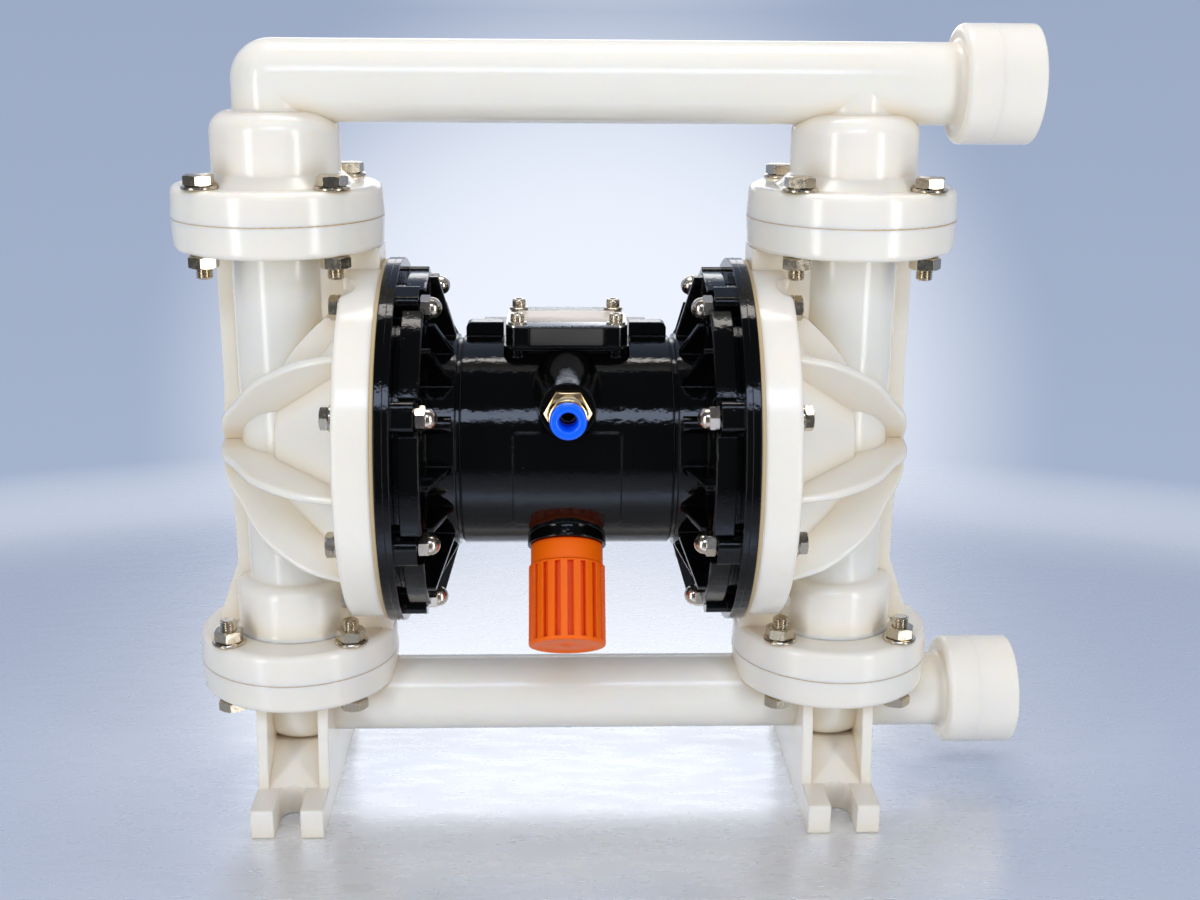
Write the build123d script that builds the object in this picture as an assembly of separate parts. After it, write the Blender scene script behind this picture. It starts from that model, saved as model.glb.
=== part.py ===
from build123d import *
from math import cos, radians, sin, sqrt, tan
import os

os.makedirs("parts", exist_ok=True)

# All sizes are in mm. X is the shaft axis, Y points to the rear and Z is up.
# Pieces are drawn with the shaft axis at Z = 0 and lifted by shaft_height when written.
shaft_height = 233.0      # shaft axis above the soles of the feet
column_x = 172.0          # pump middle to the axis of each column

# Running and seating clearances
running_fit = 0.05        # radial gap of a part that slides or turns in another
seat_fit = 0.05           # radial gap of a part that is pressed or screwed in
body_gap = 0.3            # gap kept between pieces that must not touch
overlap = 1.0             # how far bodies of one piece run into each other
edge_break = 0.5          # rounding of an edge left nearly sharp

# Manifold pipes and their threaded ports
pipe_r = 24.0
pipe_bore_r = 19.0
discharge_rise = 78.0     # upper pipe axis above the upper seam
suction_drop = 33.0       # lower pipe axis below the lower seam
port_r = 35.0
port_length = 45.0
port_round = 4.0
port_root_round = 2.5
port_rim_round = 1.0
port_thread_r = 22.4
port_thread_depth = 26.0
outlet_end_x = 275.0
inlet_end_x = 292.0

# Bolted column flanges
flange_r = 63.0
flange_draft = 1.2        # the far edge is smaller than the seam edge by this
flange_thick = 19.0
flange_round = 4.0
flange_bolt_count = 4
flange_bolt_circle_r = 53.5
flange_root_round = 3.0
bell_r = 38.0
discharge_bell_height = 59.7
discharge_bell_slope = 1.8  # rise of the shoulder between the bell and the pipe
discharge_bell_round = 12.5
discharge_flare = 8.0     # the bell's foot widens by this
discharge_flare_height = 7.0
sump_r = 32.0
sump_round = 20.0

# Slotted feet on the suction manifold
foot_width = 44.6
foot_half_depth = 82.0
foot_pad_height = 19.0
foot_rib_thick = 6.5
foot_rib_low_y = 53.0     # front edge of the foot rib where it meets the pad
foot_rib_high_y = 45.0    # and where it meets the flange
foot_panel_high_y = 22.0  # front edge of the flat below the pipe
foot_panel_inset = 9.0    # the hollow below starts this far behind the rib
foot_panel_thick = 9.0
foot_step = 4.0           # the hollow stops this far below the pad's top
foot_round = 1.5
foot_slot_r = 8.3
foot_slot_y = 58.8        # centre of the slot's round end

# Check valves
ball_r = 23.5
ball_lift = 10.0
seat_r = 35.0
seat_thick = 8.0
seat_bore_r = 18.5
seat_land_r = 20.5
cage_r = 29.0
cage_slot_width = 9.0
cage_slot_reach = 26.5
cage_slot_height = 12.0
seal_inner_r = 37.0
seal_width = 5.0
seal_thick = 1.5

# Fluid caps, one outside each diaphragm
clamp_face_x = 110.0      # inner face of the clamp ring
clamp_ring_thick = 22.0
clamp_ring_r = 110.5
clamp_ring_round = 3.0
ring_room = 10.5          # room between a clamp ring and the column flanges
column_r = 29.5
column_bore_r = 22.0
cap_bell_height = 51.5
cap_bell_slope = 2.0      # rise of the shoulder between the bell and the tube
cap_bell_round = 8.5
shoulder_root_round = 2.0
neck_half_width = 16.0
bowl_inset = 27.5         # clamp ring's edge to the bowl's rim
bowl_depth = 44.0         # how far the bowl stands out of the clamp ring
bowl_end_r = 36.8         # where the bowl's cone would meet its end face
bowl_round = 10.0
bowl_root_round = 4.0
bowl_wall = 7.0
chamber_inset = 22.5      # clamp ring's edge to the rim of the wetted and dry chambers
rib_thick = 5.0
rib_round = 1.8
rib_angles = (45.5, 96.0, 137.0, 223.0, 264.0, 314.5)
rib_tip_x = 212.5
rib_inset = 13.5          # clamp ring's edge to the rim of the ribs
rib_curve = ((0.28, 0.928), (0.484, 0.82), (0.689, 0.655), (0.839, 0.448))  # shares of depth and rim
fairing_half_width = 30.5
fairing_inset = 18.5
fairing_curve = ((0.4, 0.851), (0.74, 0.7))
fairing_end = 0.522       # share of its rim radius left at the column
web_thick = 6.0
web_top_x = 210.5
web_bend_z = 35.0         # where the web leaves its upright upper part
web_waist_x = 209.0
web_waist_z = (-43.0, -80.0)
web_foot_x = 222.0
web_foot_height = 5.0     # upright edge above the lower flange
web_round = 12.0

# Diaphragms, shaft and the plates that grip them
diaphragm_thick = 2.0
diaphragm_web = 4.0
diaphragm_draw_in = 1.0   # the edge stays this far inside the air chamber's rim
stroke = 12.0
shaft_r = 12.5
plate_r = 50.0
inner_plate_x = 92.0      # inner face of the inner plate, at mid stroke
inner_plate_thick = 5.0
inner_plate_bore_r = 12.0
outer_plate_thick = 11.0
outer_plate_rim = 3.0
plate_boss_r = 20.0
plate_bolt_r = 8.0
plate_bolt_depth = 20.0   # how far a plate bolt reaches into the shaft
plate_bolt_head = 24.0    # across the flats
plate_bolt_head_height = 6.0

# Air chambers, one inside each diaphragm
rim_lip = 2.5             # the air chamber's rim stands this far outside the clamp ring
air_flange_thick = 9.0
rim_groove_width = 3.5    # groove between the rim and the blocks
rim_groove_inset = 13.5   # clamp ring's edge to the bottom of that groove
hub_r = 66.0
hub_neck_r = 63.5         # small groove beside the centre body
hub_neck_length = 2.4
dry_wall_x = 72.0         # inner face of the dry chamber's floor
dry_floor_r = 52.0
dry_steps = ((12.0, 58.0), (17.0, 62.0), (22.0, 0.0))  # distance from that floor and radius
block_inset = 6.5         # clamp ring's edge to the blocks' outer face
block_x = 83.0
block_round = 1.5
block_gap = 22.0          # room between two blocks for a lug and its nut
lug_width = 17.5
lug_reach = 11.0          # how far a lug stands out from its bolt
lug_round = 4.0
lug_x = 86.0
fin_count = 16
fin_thick = 3.0
fin_x = 67.5
fin_slope = 5.0           # depth of a fin's outer end
low_fin_inset = 12.0      # bolt circle to the tip of the low fins
boss_fin_angle = 67.5     # a round boss takes this fin's place
boss_fin_r = 5.0
boss_fin_at = 70.0
clamp_bolt_count = 8
clamp_bolt_inset = 12.5   # clamp ring's edge to the bolt circle

# Centre body
body_r = 65.0
body_half = 62.5
gasket_thick = 0.8
bush_r = 16.0
bush_length = 24.0
seal_r = 16.0
shaft_seal_length = 4.0
field_angle = 98.5        # middle of the raised bare field, measured from the top
field_half_x = 32.0
field_half_height = 30.0
field_round = 3.0
field_height = 1.0
inlet_z = 42.0
inlet_boss_r = 16.0
inlet_boss_root_r = 21.5
inlet_boss_y = 90.0
inlet_boss_length = 60.0
inlet_thread_r = 10.0
inlet_thread_depth = 16.0
inlet_duct_r = 6.0
inlet_duct_depth = 44.0
exhaust_tilt = 35.0       # silencer axis, forward of straight down
exhaust_boss_r = 24.0
exhaust_boss_reach = 69.5
exhaust_root_r = 29.0
exhaust_root_rise = 55.0  # where the boss's root starts to narrow
exhaust_neck_length = 7.5
exhaust_thread_r = 13.0
exhaust_duct_depth = 40.0
screw_circle_r = 47.0
screw_count = 4

# Ridge plate and cover block on top of the centre body
ridge_half_x = 61.5
ridge_top_z = 74.0
ridge_y = (2.0, 12.0)
ridge_round = 4.0
cover_half_x = 36.5
cover_half_y = 30.0
cover_mid_y = 1.0
cover_seat_z = 62.5
cover_seat_room = 0.5     # gap round the cover's lip
cover_lip = 2.0
cover_lip_reach = 1.5
cover_corner_r = 7.0
cover_height = 11.3
cover_side_inset = 1.6
cover_gasket_thick = 1.0
cover_gasket_inset = 1.0
cover_plate_thick = 1.2
cover_screw_x = 29.5
cover_screw_y = 23.5
pedestal_inset = 4.0
pedestal_depth = 20.0

# Main air valve behind the centre body
valve_pad_top_z = 60.0
valve_pad_low_z = -34.0
valve_pad_rear_y = 67.0
valve_gasket_thick = 1.0
valve_gasket_inset = 1.0
valve_half_x = 54.0
valve_depth = 36.0
valve_round = 6.0
valve_top_z = 58.0
valve_low_z = -2.0
valve_cap_thick = 8.0
valve_cap_inset = 3.0
valve_cap_round = 3.0
spool_r = 11.0
spool_waist_r = 7.0
spool_half = 40.0
spool_land = 12.0
spool_travel = 6.0
valve_screw_x = 46.0
valve_screw_inset = 8.0

# Pilot rod, pushed by the inner plates
pilot_r = 6.0
pilot_y = 22.0
pilot_z = 32.0
pilot_travel = 4.0
pilot_neck_x = 20.0
pilot_neck_half = 4.0
pilot_neck_depth = 1.5

# Silencer
muffler_band_r = 22.0
muffler_band_length = 13.5
muffler_r = 23.2
muffler_length = 62.5
muffler_wall = 2.2
muffler_lip = 2.0
muffler_groove_count = 18
muffler_groove_width = 3.4
muffler_groove_depth = 2.2
muffler_neck_r = 13.0
muffler_neck_length = 13.0
muffler_neck_bore_r = 8.0
core_r = 15.0
core_wall = 3.0

# Push-in air fitting
fitting_hex = 24.0
fitting_hex_thick = 8.0
fitting_barrel_r = 11.2
fitting_barrel_length = 11.0
fitting_bore_r = 7.2
fitting_stop_depth = 14.0
fitting_duct_r = 4.0
collet_flange_r = 10.0
collet_flange_thick = 5.0
collet_sleeve_length = 11.0
collet_travel = 1.5
tube_r = 5.2

# Fasteners: shank radius, width across flats, head height
flange_bolt_r = 5.0
flange_bolt_hex = 17.0
flange_bolt_head = 6.4
flange_nut_height = 8.0
flange_washer_r = 10.0
flange_washer_thick = 2.0
flange_bolt_spare = 5.0   # thread left standing out of the nut
flange_hole_r = 5.6
washer_room = 1.0         # recess round a washer
clamp_bolt_r = 4.0
clamp_bolt_hex = 13.0
clamp_bolt_head = 5.3
clamp_washer_r = 8.0
clamp_washer_thick = 1.6
cap_nut_hex_height = 6.5
cap_nut_dome_r = 6.2
clamp_hole_r = 4.3
cover_screw_r = 3.0
cover_screw_head_r = 3.8
cover_screw_head = 5.0
cover_screw_socket = 4.0
cover_washer_r = 5.8
cover_washer_thick = 1.4
screw_r = 3.0
screw_head_r = 5.0
screw_head = 6.0
screw_depth = 16.0
screw_play = 2.0          # depth of a screw hole past the screw's end

# Sizes that follow from the ones above
seam_half = clamp_ring_r + ring_room + flange_thick
upper_pipe_z = seam_half + discharge_rise
lower_pipe_z = -seam_half - suction_drop
sole_z = -shaft_height
foot_pad_z = sole_z + foot_pad_height
flange_low_z = -seam_half - flange_thick
flange_edge_r = flange_r - flange_draft
ball_rise = seat_thick / 2 + sqrt(ball_r ** 2 - seat_land_r ** 2)
clamp_outer_x = clamp_face_x + clamp_ring_thick
clamp_bolt_circle_r = clamp_ring_r - clamp_bolt_inset
bowl_rim_r = clamp_ring_r - bowl_inset
chamber_r = clamp_ring_r - chamber_inset
rib_rim_r = clamp_ring_r - rib_inset
fairing_rim_r = clamp_ring_r - fairing_inset
air_flange_x = clamp_face_x - diaphragm_thick
air_flange_r = clamp_ring_r + rim_lip
rim_groove_r = clamp_ring_r - rim_groove_inset
rim_groove_x = air_flange_x - air_flange_thick - rim_groove_width
block_outer_r = clamp_ring_r - block_inset
web_face_x = inner_plate_x + inner_plate_thick
outer_plate_x = web_face_x + diaphragm_web
hub_face_x = body_half + gasket_thick
pilot_half = inner_plate_x - stroke + pilot_travel - body_gap
plate_bolt_flat_x = outer_plate_x + outer_plate_thick
valve_face_y = valve_pad_rear_y + valve_gasket_thick
valve_rear_y = valve_face_y + valve_depth
valve_mid_z = (valve_top_z + valve_low_z) / 2
spool_y = valve_face_y + valve_depth / 2
cover_low_z = cover_seat_z + cover_gasket_thick
cover_top_z = cover_low_z + cover_lip + cover_height
collet_flange_y = inlet_boss_y + fitting_hex_thick + fitting_barrel_length + collet_travel + body_gap
muffler_end = exhaust_boss_reach + muffler_length
first_clamp_angle = 180 / clamp_bolt_count

base = (Align.CENTER, Align.CENTER, Align.MIN)
sides = {"left": -1, "right": 1}


def save(name, shape):
    """Lifts a piece to its height above the floor and writes it as its own node."""
    export_step(Pos(0, 0, shaft_height) * shape, f"parts/{name}.step")


def rod_x(radius, start, end, y=0.0, z=0.0):
    """Round bar along X."""
    low, high = sorted((start, end))
    return Pos(low, y, z) * Rot(0, 90, 0) * Cylinder(radius, high - low, align=base)


def rod_y(radius, start, end, x=0.0, z=0.0):
    """Round bar along Y."""
    low, high = sorted((start, end))
    return Pos(x, low, z) * Rot(-90, 0, 0) * Cylinder(radius, high - low, align=base)


def rod_z(radius, start, end, x=0.0, y=0.0):
    """Round bar along Z."""
    low, high = sorted((start, end))
    return Pos(x, y, low) * Cylinder(radius, high - low, align=base)


def block(x_span, y_span, z_span):
    """Rectangular block between pairs of coordinates."""
    spans = [sorted(span) for span in (x_span, y_span, z_span)]
    middle = [(low + high) / 2 for low, high in spans]
    size = [high - low for low, high in spans]
    return Pos(*middle) * Box(*size)


def outline(*corners):
    """Face inside (a, b, rounding) corners, each one rounded by its own radius."""
    bends = []
    for i, (a, b, rounding) in enumerate(corners):
        corner = Vector(a, b)
        before = (Vector(*corners[i - 1][:2]) - corner).normalized()
        after = (Vector(*corners[(i + 1) % len(corners)][:2]) - corner).normalized()
        half = radians(before.get_angle(after) / 2)
        reach = rounding / tan(half)
        middle = (before + after).normalized() * rounding * (1 / sin(half) - 1)
        bends.append((corner + before * reach, corner + middle, corner + after * reach))
    edges = []
    for i, (start, middle, end) in enumerate(bends):
        edges.append(Line(bends[i - 1][2], start))
        if start != end:
            edges.append(ThreePointArc(start, middle, end))
    return make_face(edges)


def turned(*corners):
    """Ring or disc turned about the shaft axis from (x, radius, rounding) corners."""
    return revolve(Plane.XZ * outline(*corners), Axis.X)


def plain_turned(*corners):
    """Ring or disc turned about the shaft axis from sharp (x, radius) corners."""
    return revolve(Plane.XZ * make_face(Polyline(*corners, close=True)), Axis.X)


def turned_z(x, *corners):
    """Body turned about an upright axis at x from (radius, z, rounding) corners."""
    return Pos(x, 0, 0) * revolve(Plane.XZ * outline(*corners), Axis.Z)


def around_shaft(shape, radius, count, first_angle):
    """Copies of a piece drawn on the shaft axis, moved out and spread round it."""
    step = 360 / count
    return [Rot(first_angle + i * step, 0, 0) * Pos(0, 0, radius) * shape for i in range(count)]


def round_clamps(shape):
    """One copy of a piece at each clamp bolt."""
    return around_shaft(shape, clamp_bolt_circle_r, clamp_bolt_count, first_clamp_angle)


def round_chamber_screws(shape):
    """One copy of a piece at each screw between an air chamber and the centre body."""
    return around_shaft(shape, screw_circle_r, screw_count, 180 / screw_count)


def hex_bar(across_flats, height):
    """Hexagonal bar standing on Z = 0."""
    return extrude(RegularPolygon(across_flats / sqrt(3), 6), height)


def flange_points():
    """Bolt centres of both column flanges."""
    points = []
    for side in sides.values():
        for i in range(flange_bolt_count):
            angle = radians((i + 0.5) * 360 / flange_bolt_count)
            x = side * column_x + flange_bolt_circle_r * cos(angle)
            points.append((x, flange_bolt_circle_r * sin(angle)))
    return points


def bolt_holes(seam):
    """Clearance holes and washer recesses through the flanges of one seam."""
    cut = Part()
    for x, y in flange_points():
        cut += rod_z(flange_hole_r, seam - flange_thick - 1, seam + flange_thick + 1, x, y)
        for way in (-1, 1):
            face = seam + way * flange_thick
            cut += rod_z(flange_washer_r + washer_room, face, face + way * bell_r, x, y)
    return cut


def ball_cage(x, seam, bore_r):
    """Space above a seam for a ball: seat recess, cage, stop edge and flow slots past it."""
    stop_z = seam + ball_rise + ball_lift + sqrt(ball_r ** 2 - bore_r ** 2) + body_gap
    space = rod_z(seat_r + seat_fit, seam, seam + seat_thick / 2, x)
    space += rod_z(cage_r, seam, stop_z, x)
    slot = block((-cage_slot_reach, cage_slot_reach), (-cage_slot_width / 2, cage_slot_width / 2),
                 (stop_z - overlap, stop_z + cage_slot_height))
    for turn in (45, 135):
        space += Pos(x, 0, 0) * Rot(0, 0, turn) * slot
    return space


def seat_socket(x, seam):
    """Recess for the lower half of a valve seat."""
    return rod_z(seat_r + seat_fit, seam - seat_thick / 2, seam, x)


def flat_seal(x, seam):
    """Flat seal outside a valve seat, and the groove it lies in."""
    ring = rod_z(seal_inner_r + seal_width, seam - seal_thick, seam, x)
    return ring - rod_z(seal_inner_r, seam - seal_thick, seam, x)


def ported_pipe(end_x, z):
    """Pipe from the left column with a round threaded boss at its right end."""
    boss_x = end_x - port_length
    corners = [(-column_x, 0, 0), (-column_x, pipe_r, 0), (boss_x, pipe_r, port_root_round),
               (boss_x, port_r, port_round), (end_x, port_r, port_rim_round), (end_x, 0, 0)]
    return Pos(0, 0, z) * turned(*corners)


def port_bore(end_x, z):
    """Pipe bore from the left column to the port, with the port's thread bore."""
    bore = rod_x(pipe_bore_r, -column_x, end_x, z=z) + Pos(-column_x, 0, z) * Sphere(pipe_bore_r)
    return bore + rod_x(port_thread_r, end_x - port_thread_depth, end_x, z=z)


def discharge_stack(x):
    """Flange, bell and riser over one column."""
    seam = seam_half
    face = seam + flange_thick
    bell_z = seam + discharge_bell_height
    corners = [(0, seam, 0), (flange_r, seam, edge_break), (flange_edge_r, face, flange_round),
               (bell_r + discharge_flare, face, edge_break), (bell_r, face + discharge_flare_height, 2),
               (bell_r, bell_z, discharge_bell_round),
               (pipe_r, bell_z + discharge_bell_slope, shoulder_root_round),
               (pipe_r, upper_pipe_z, 0), (0, upper_pipe_z, 0)]
    return turned_z(x, *corners)


def discharge_manifold():
    body = ported_pipe(outlet_end_x, upper_pipe_z)
    body += Pos(-column_x, 0, upper_pipe_z) * Sphere(pipe_r)
    for side in sides.values():
        body += discharge_stack(side * column_x)
    body -= port_bore(outlet_end_x, upper_pipe_z)
    for side in sides.values():
        x = side * column_x
        body -= rod_z(pipe_bore_r, seam_half, upper_pipe_z, x)
        body -= ball_cage(x, seam_half, pipe_bore_r)
    return body - bolt_holes(seam_half)


def mirrored_profile(corners):
    """A front half profile of (y, z, rounding) corners closed by its rear half."""
    return outline(*corners, *[(-y, z, rounding) for y, z, rounding in reversed(corners)])


def foot(x):
    """Slotted foot: two side ribs, a sloping floor between them and a pad front and rear."""
    half = foot_width / 2
    side_view = [(foot_half_depth, sole_z, foot_round), (foot_half_depth, foot_pad_z, foot_round),
                 (foot_rib_low_y, foot_pad_z, foot_round), (foot_rib_high_y, flange_low_z + overlap, 0)]
    body = extrude(Plane.YZ * mirrored_profile(side_view), half, both=True)
    inner_half = half - foot_rib_thick
    floor_z = lower_pipe_z - pipe_r + overlap
    trough = [(foot_half_depth + 1, flange_low_z + overlap, 0), (foot_half_depth + 1, foot_pad_z, 0),
              (foot_rib_low_y, foot_pad_z, 0), (foot_panel_high_y, floor_z, 0)]
    body -= extrude(Plane.YZ * mirrored_profile(trough), inner_half, both=True)
    hollow_y = foot_rib_low_y - foot_panel_inset
    hollow = [(hollow_y, sole_z, 0), (hollow_y, foot_pad_z - foot_step, 0),
              (foot_panel_high_y - foot_panel_thick, floor_z - foot_panel_thick, 0)]
    body -= extrude(Plane.YZ * mirrored_profile(hollow), inner_half, both=True)
    for way in (-1, 1):
        body -= rod_z(foot_slot_r, sole_z, flange_low_z, 0, way * foot_slot_y)
        body -= block((-foot_slot_r, foot_slot_r), (way * foot_slot_y, way * (foot_half_depth + 1)),
                      (sole_z, foot_pad_z + 1))
    return Pos(x, 0, 0) * body


def suction_stack(x):
    """Flange and round sump under one column."""
    seam = -seam_half
    corners = [(0, seam, 0), (flange_r, seam, edge_break), (flange_edge_r, flange_low_z, flange_round),
               (sump_r, flange_low_z, flange_root_round), (sump_r, lower_pipe_z - pipe_r, sump_round),
               (0, lower_pipe_z - pipe_r, 0)]
    return turned_z(x, *corners)


def suction_manifold():
    seam = -seam_half
    body = ported_pipe(inlet_end_x, lower_pipe_z)
    for side in sides.values():
        body += suction_stack(side * column_x)
        body += foot(side * column_x)
    body -= port_bore(inlet_end_x, lower_pipe_z)
    for side in sides.values():
        x = side * column_x
        body -= rod_z(pipe_bore_r, lower_pipe_z, seam, x)
        body -= seat_socket(x, seam)
        body -= flat_seal(x, seam)
    return body - bolt_holes(seam)


def cap_shell():
    """Clamp ring with the conical bowl that stands out of it."""
    return turned((clamp_face_x, 0, 0), (clamp_face_x, clamp_ring_r, edge_break),
                  (clamp_outer_x, clamp_ring_r, clamp_ring_round),
                  (clamp_outer_x, bowl_rim_r, bowl_root_round),
                  (clamp_outer_x + bowl_depth, bowl_end_r, bowl_round), (clamp_outer_x + bowl_depth, 0, 0))


def wetted_chamber():
    """Space inside the bowl, one wall thickness behind it."""
    fall = (bowl_rim_r - bowl_end_r) / bowl_depth
    inner_rim_r = bowl_rim_r - bowl_wall * sqrt(1 + fall ** 2)
    end_x = clamp_outer_x + bowl_depth - bowl_wall
    rim_x = clamp_outer_x - (chamber_r - inner_rim_r) / fall
    end_r = inner_rim_r - (end_x - clamp_outer_x) * fall
    return turned((clamp_face_x, 0, 0), (clamp_face_x, chamber_r, 0), (rim_x, chamber_r, 2),
                  (end_x, end_r, bowl_round - bowl_wall), (end_x, 0, 0))


def curved_plate(start, end, curve, half_width, directions=()):
    """Plate in the XZ plane below a curved edge, whose points are shares of (x, z) from start to end."""
    depth = end[0] - start[0]
    points = [(start[0] + share_x * depth, share_z * start[1]) for share_x, share_z in curve]
    edge = Spline(start, *points, end, tangents=directions)
    corners = [end, (end[0], overlap), (start[0] - overlap, overlap), (start[0] - overlap, start[1]), start]
    back = Polyline(*dict.fromkeys(corners))
    return extrude(Plane.XZ * make_face([edge, back]), half_width, both=True)


def fluid_cap_column():
    """Column tube with both flanges and the lower valve's bell."""
    low, high = -seam_half, seam_half
    low_face, high_face = low + flange_thick, high - flange_thick
    bell_z = low + cap_bell_height
    corners = [(0, low, 0), (flange_r, low, edge_break), (flange_edge_r, low_face, flange_round),
               (bell_r, low_face, flange_root_round), (bell_r, bell_z, cap_bell_round),
               (column_r, bell_z + cap_bell_slope, shoulder_root_round),
               (column_r, high_face, flange_root_round), (flange_edge_r, high_face, flange_round),
               (flange_r, high, edge_break), (0, high, 0)]
    return turned_z(column_x, *corners)


def cap_web():
    """Upright web down the outside of the column, flaring out on to the lower flange."""
    low_face, high_face = -seam_half + flange_thick, seam_half - flange_thick
    waist_high, waist_low = web_waist_z
    corners = [(column_x, low_face - overlap, 0), (web_foot_x, low_face - overlap, 0),
               (web_foot_x, low_face + web_foot_height, 2), (web_waist_x, waist_low, web_round),
               (web_waist_x, waist_high, web_round), (rib_tip_x, 0, web_round),
               (web_top_x, web_bend_z, web_round), (web_top_x, high_face + overlap, 0),
               (column_x, high_face + overlap, 0)]
    return extrude(Plane.XZ * outline(*corners), web_thick / 2, both=True)


def cap_ribs():
    """Curved stiffening ribs that lie in planes through the shaft axis."""
    rib = curved_plate((clamp_outer_x, rib_rim_r), (rib_tip_x, overlap), rib_curve, rib_thick / 2,
                       directions=[(0.96, -0.28), (0, -1)])
    rib = fillet(rib.edges().filter_by(GeomType.BSPLINE), rib_round)
    return [Rot(angle, 0, 0) * rib for angle in rib_angles]


def fluid_cap_right():
    body = cap_shell() + fluid_cap_column()
    body += block((clamp_face_x + overlap, column_x), (-neck_half_width, neck_half_width),
                  (-seam_half + flange_thick - overlap, seam_half - flange_thick + overlap))
    fairing = curved_plate((clamp_outer_x, fairing_rim_r), (column_x, fairing_rim_r * fairing_end),
                           fairing_curve, fairing_half_width)
    body += [*cap_ribs(), cap_web(), fairing]
    body -= wetted_chamber()
    body -= rod_z(column_bore_r, -seam_half, seam_half, column_x)
    body -= ball_cage(column_x, -seam_half, column_bore_r)
    body -= seat_socket(column_x, seam_half)
    body -= flat_seal(column_x, seam_half)
    hole = rod_x(clamp_hole_r, clamp_face_x, clamp_outer_x)
    recess = rod_x(clamp_washer_r + washer_room, clamp_outer_x, clamp_outer_x + bowl_depth)
    body -= round_clamps(hole + recess)
    body -= bolt_holes(seam_half)
    return body - bolt_holes(-seam_half)


def clamp_blocks():
    """Ring of blocks on the air chamber's back, parted by a gap with a lug at each clamp bolt."""
    blocks = turned((block_x, hub_r, 0), (block_x, block_outer_r, block_round),
                    (rim_groove_x, block_outer_r, edge_break), (rim_groove_x, hub_r, 0))
    inner = -low_fin_inset
    gap = block((0, lug_x), (-block_gap / 2, block_gap / 2), (inner, 2 * lug_reach))
    gap += block((0, rim_groove_x), (-block_gap / 2, block_gap / 2),
                 (rim_groove_r - clamp_bolt_circle_r, 2 * lug_reach))
    blocks -= round_clamps(gap)
    lug_middle = (inner + lug_reach) / 2
    lug_face = Pos(0, lug_middle) * RectangleRounded(lug_width, lug_reach - inner, lug_round)
    lug = extrude(Plane.YZ * lug_face, air_flange_x - overlap - lug_x)
    return blocks + round_clamps(Pos(lug_x, 0, 0) * lug)


def air_chamber_right():
    hub_step_x = hub_face_x + hub_neck_length
    rim_x = air_flange_x - air_flange_thick
    body = turned((hub_face_x, 0, 0), (hub_face_x, hub_neck_r, 0), (hub_step_x, hub_neck_r, 0),
                  (hub_step_x, hub_r, edge_break), (lug_x, hub_r, 0), (lug_x, rim_groove_r, 0),
                  (rim_x, rim_groove_r, 0), (rim_x, air_flange_r, edge_break),
                  (air_flange_x, air_flange_r, edge_break), (air_flange_x, 0, 0))
    body += clamp_blocks()
    body += cooling_fins()
    body -= dry_chamber()
    body -= round_clamps(rod_x(clamp_hole_r, lug_x, air_flange_x))
    body -= rod_x(shaft_r + body_gap, hub_face_x, dry_wall_x)
    body -= rod_x(pilot_r + body_gap, hub_face_x, dry_wall_x, pilot_y, pilot_z)
    return body - round_chamber_screws(chamber_screw_space())


def dry_chamber():
    """Space behind the diaphragm, widening from its floor to the rim."""
    corners = [(dry_wall_x, 0), (dry_wall_x, dry_floor_r)]
    corners += [(dry_wall_x + rise, radius or chamber_r) for rise, radius in dry_steps]
    return plain_turned(*corners, (air_flange_x, chamber_r), (air_flange_x, 0))


def cooling_fins():
    """Thin fins between the hub and the blocks, tall and low by turns, and one round boss."""
    low_tip_r = clamp_bolt_circle_r - low_fin_inset
    fins = []
    for i in range(fin_count):
        angle = i * 360 / fin_count
        tip_r = low_tip_r if i % 2 else block_outer_r - block_round
        if angle == boss_fin_angle:
            fin = rod_x(boss_fin_r, fin_x, block_x + overlap, z=boss_fin_at)
        else:
            corners = [(block_x + overlap, tip_r), (block_x - fin_slope, tip_r), (fin_x, hub_r + 1),
                       (fin_x, hub_r - overlap), (block_x + overlap, hub_r - overlap)]
            face = Plane.XZ * make_face(Polyline(*corners, close=True))
            fin = extrude(face, fin_thick / 2, both=True)
        fins.append(Rot(angle, 0, 0) * fin)
    return fins


def chamber_screw_space():
    """Screw hole through the hub, with its head flush below the chamber floor."""
    hole = rod_x(screw_r + seat_fit, hub_face_x, dry_wall_x)
    return hole + rod_x(screw_head_r + seat_fit, dry_wall_x - screw_head, dry_wall_x)


def chamber_screw():
    """Cap screw from a chamber floor into the centre body."""
    head = rod_x(screw_head_r, dry_wall_x - screw_head, dry_wall_x)
    return head + rod_x(screw_r, body_half - screw_depth + screw_play, dry_wall_x - screw_head)


def exhaust_axis():
    """Turns a piece drawn along +Z on to the silencer's axis."""
    return Rot(180 - exhaust_tilt, 0, 0)


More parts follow.
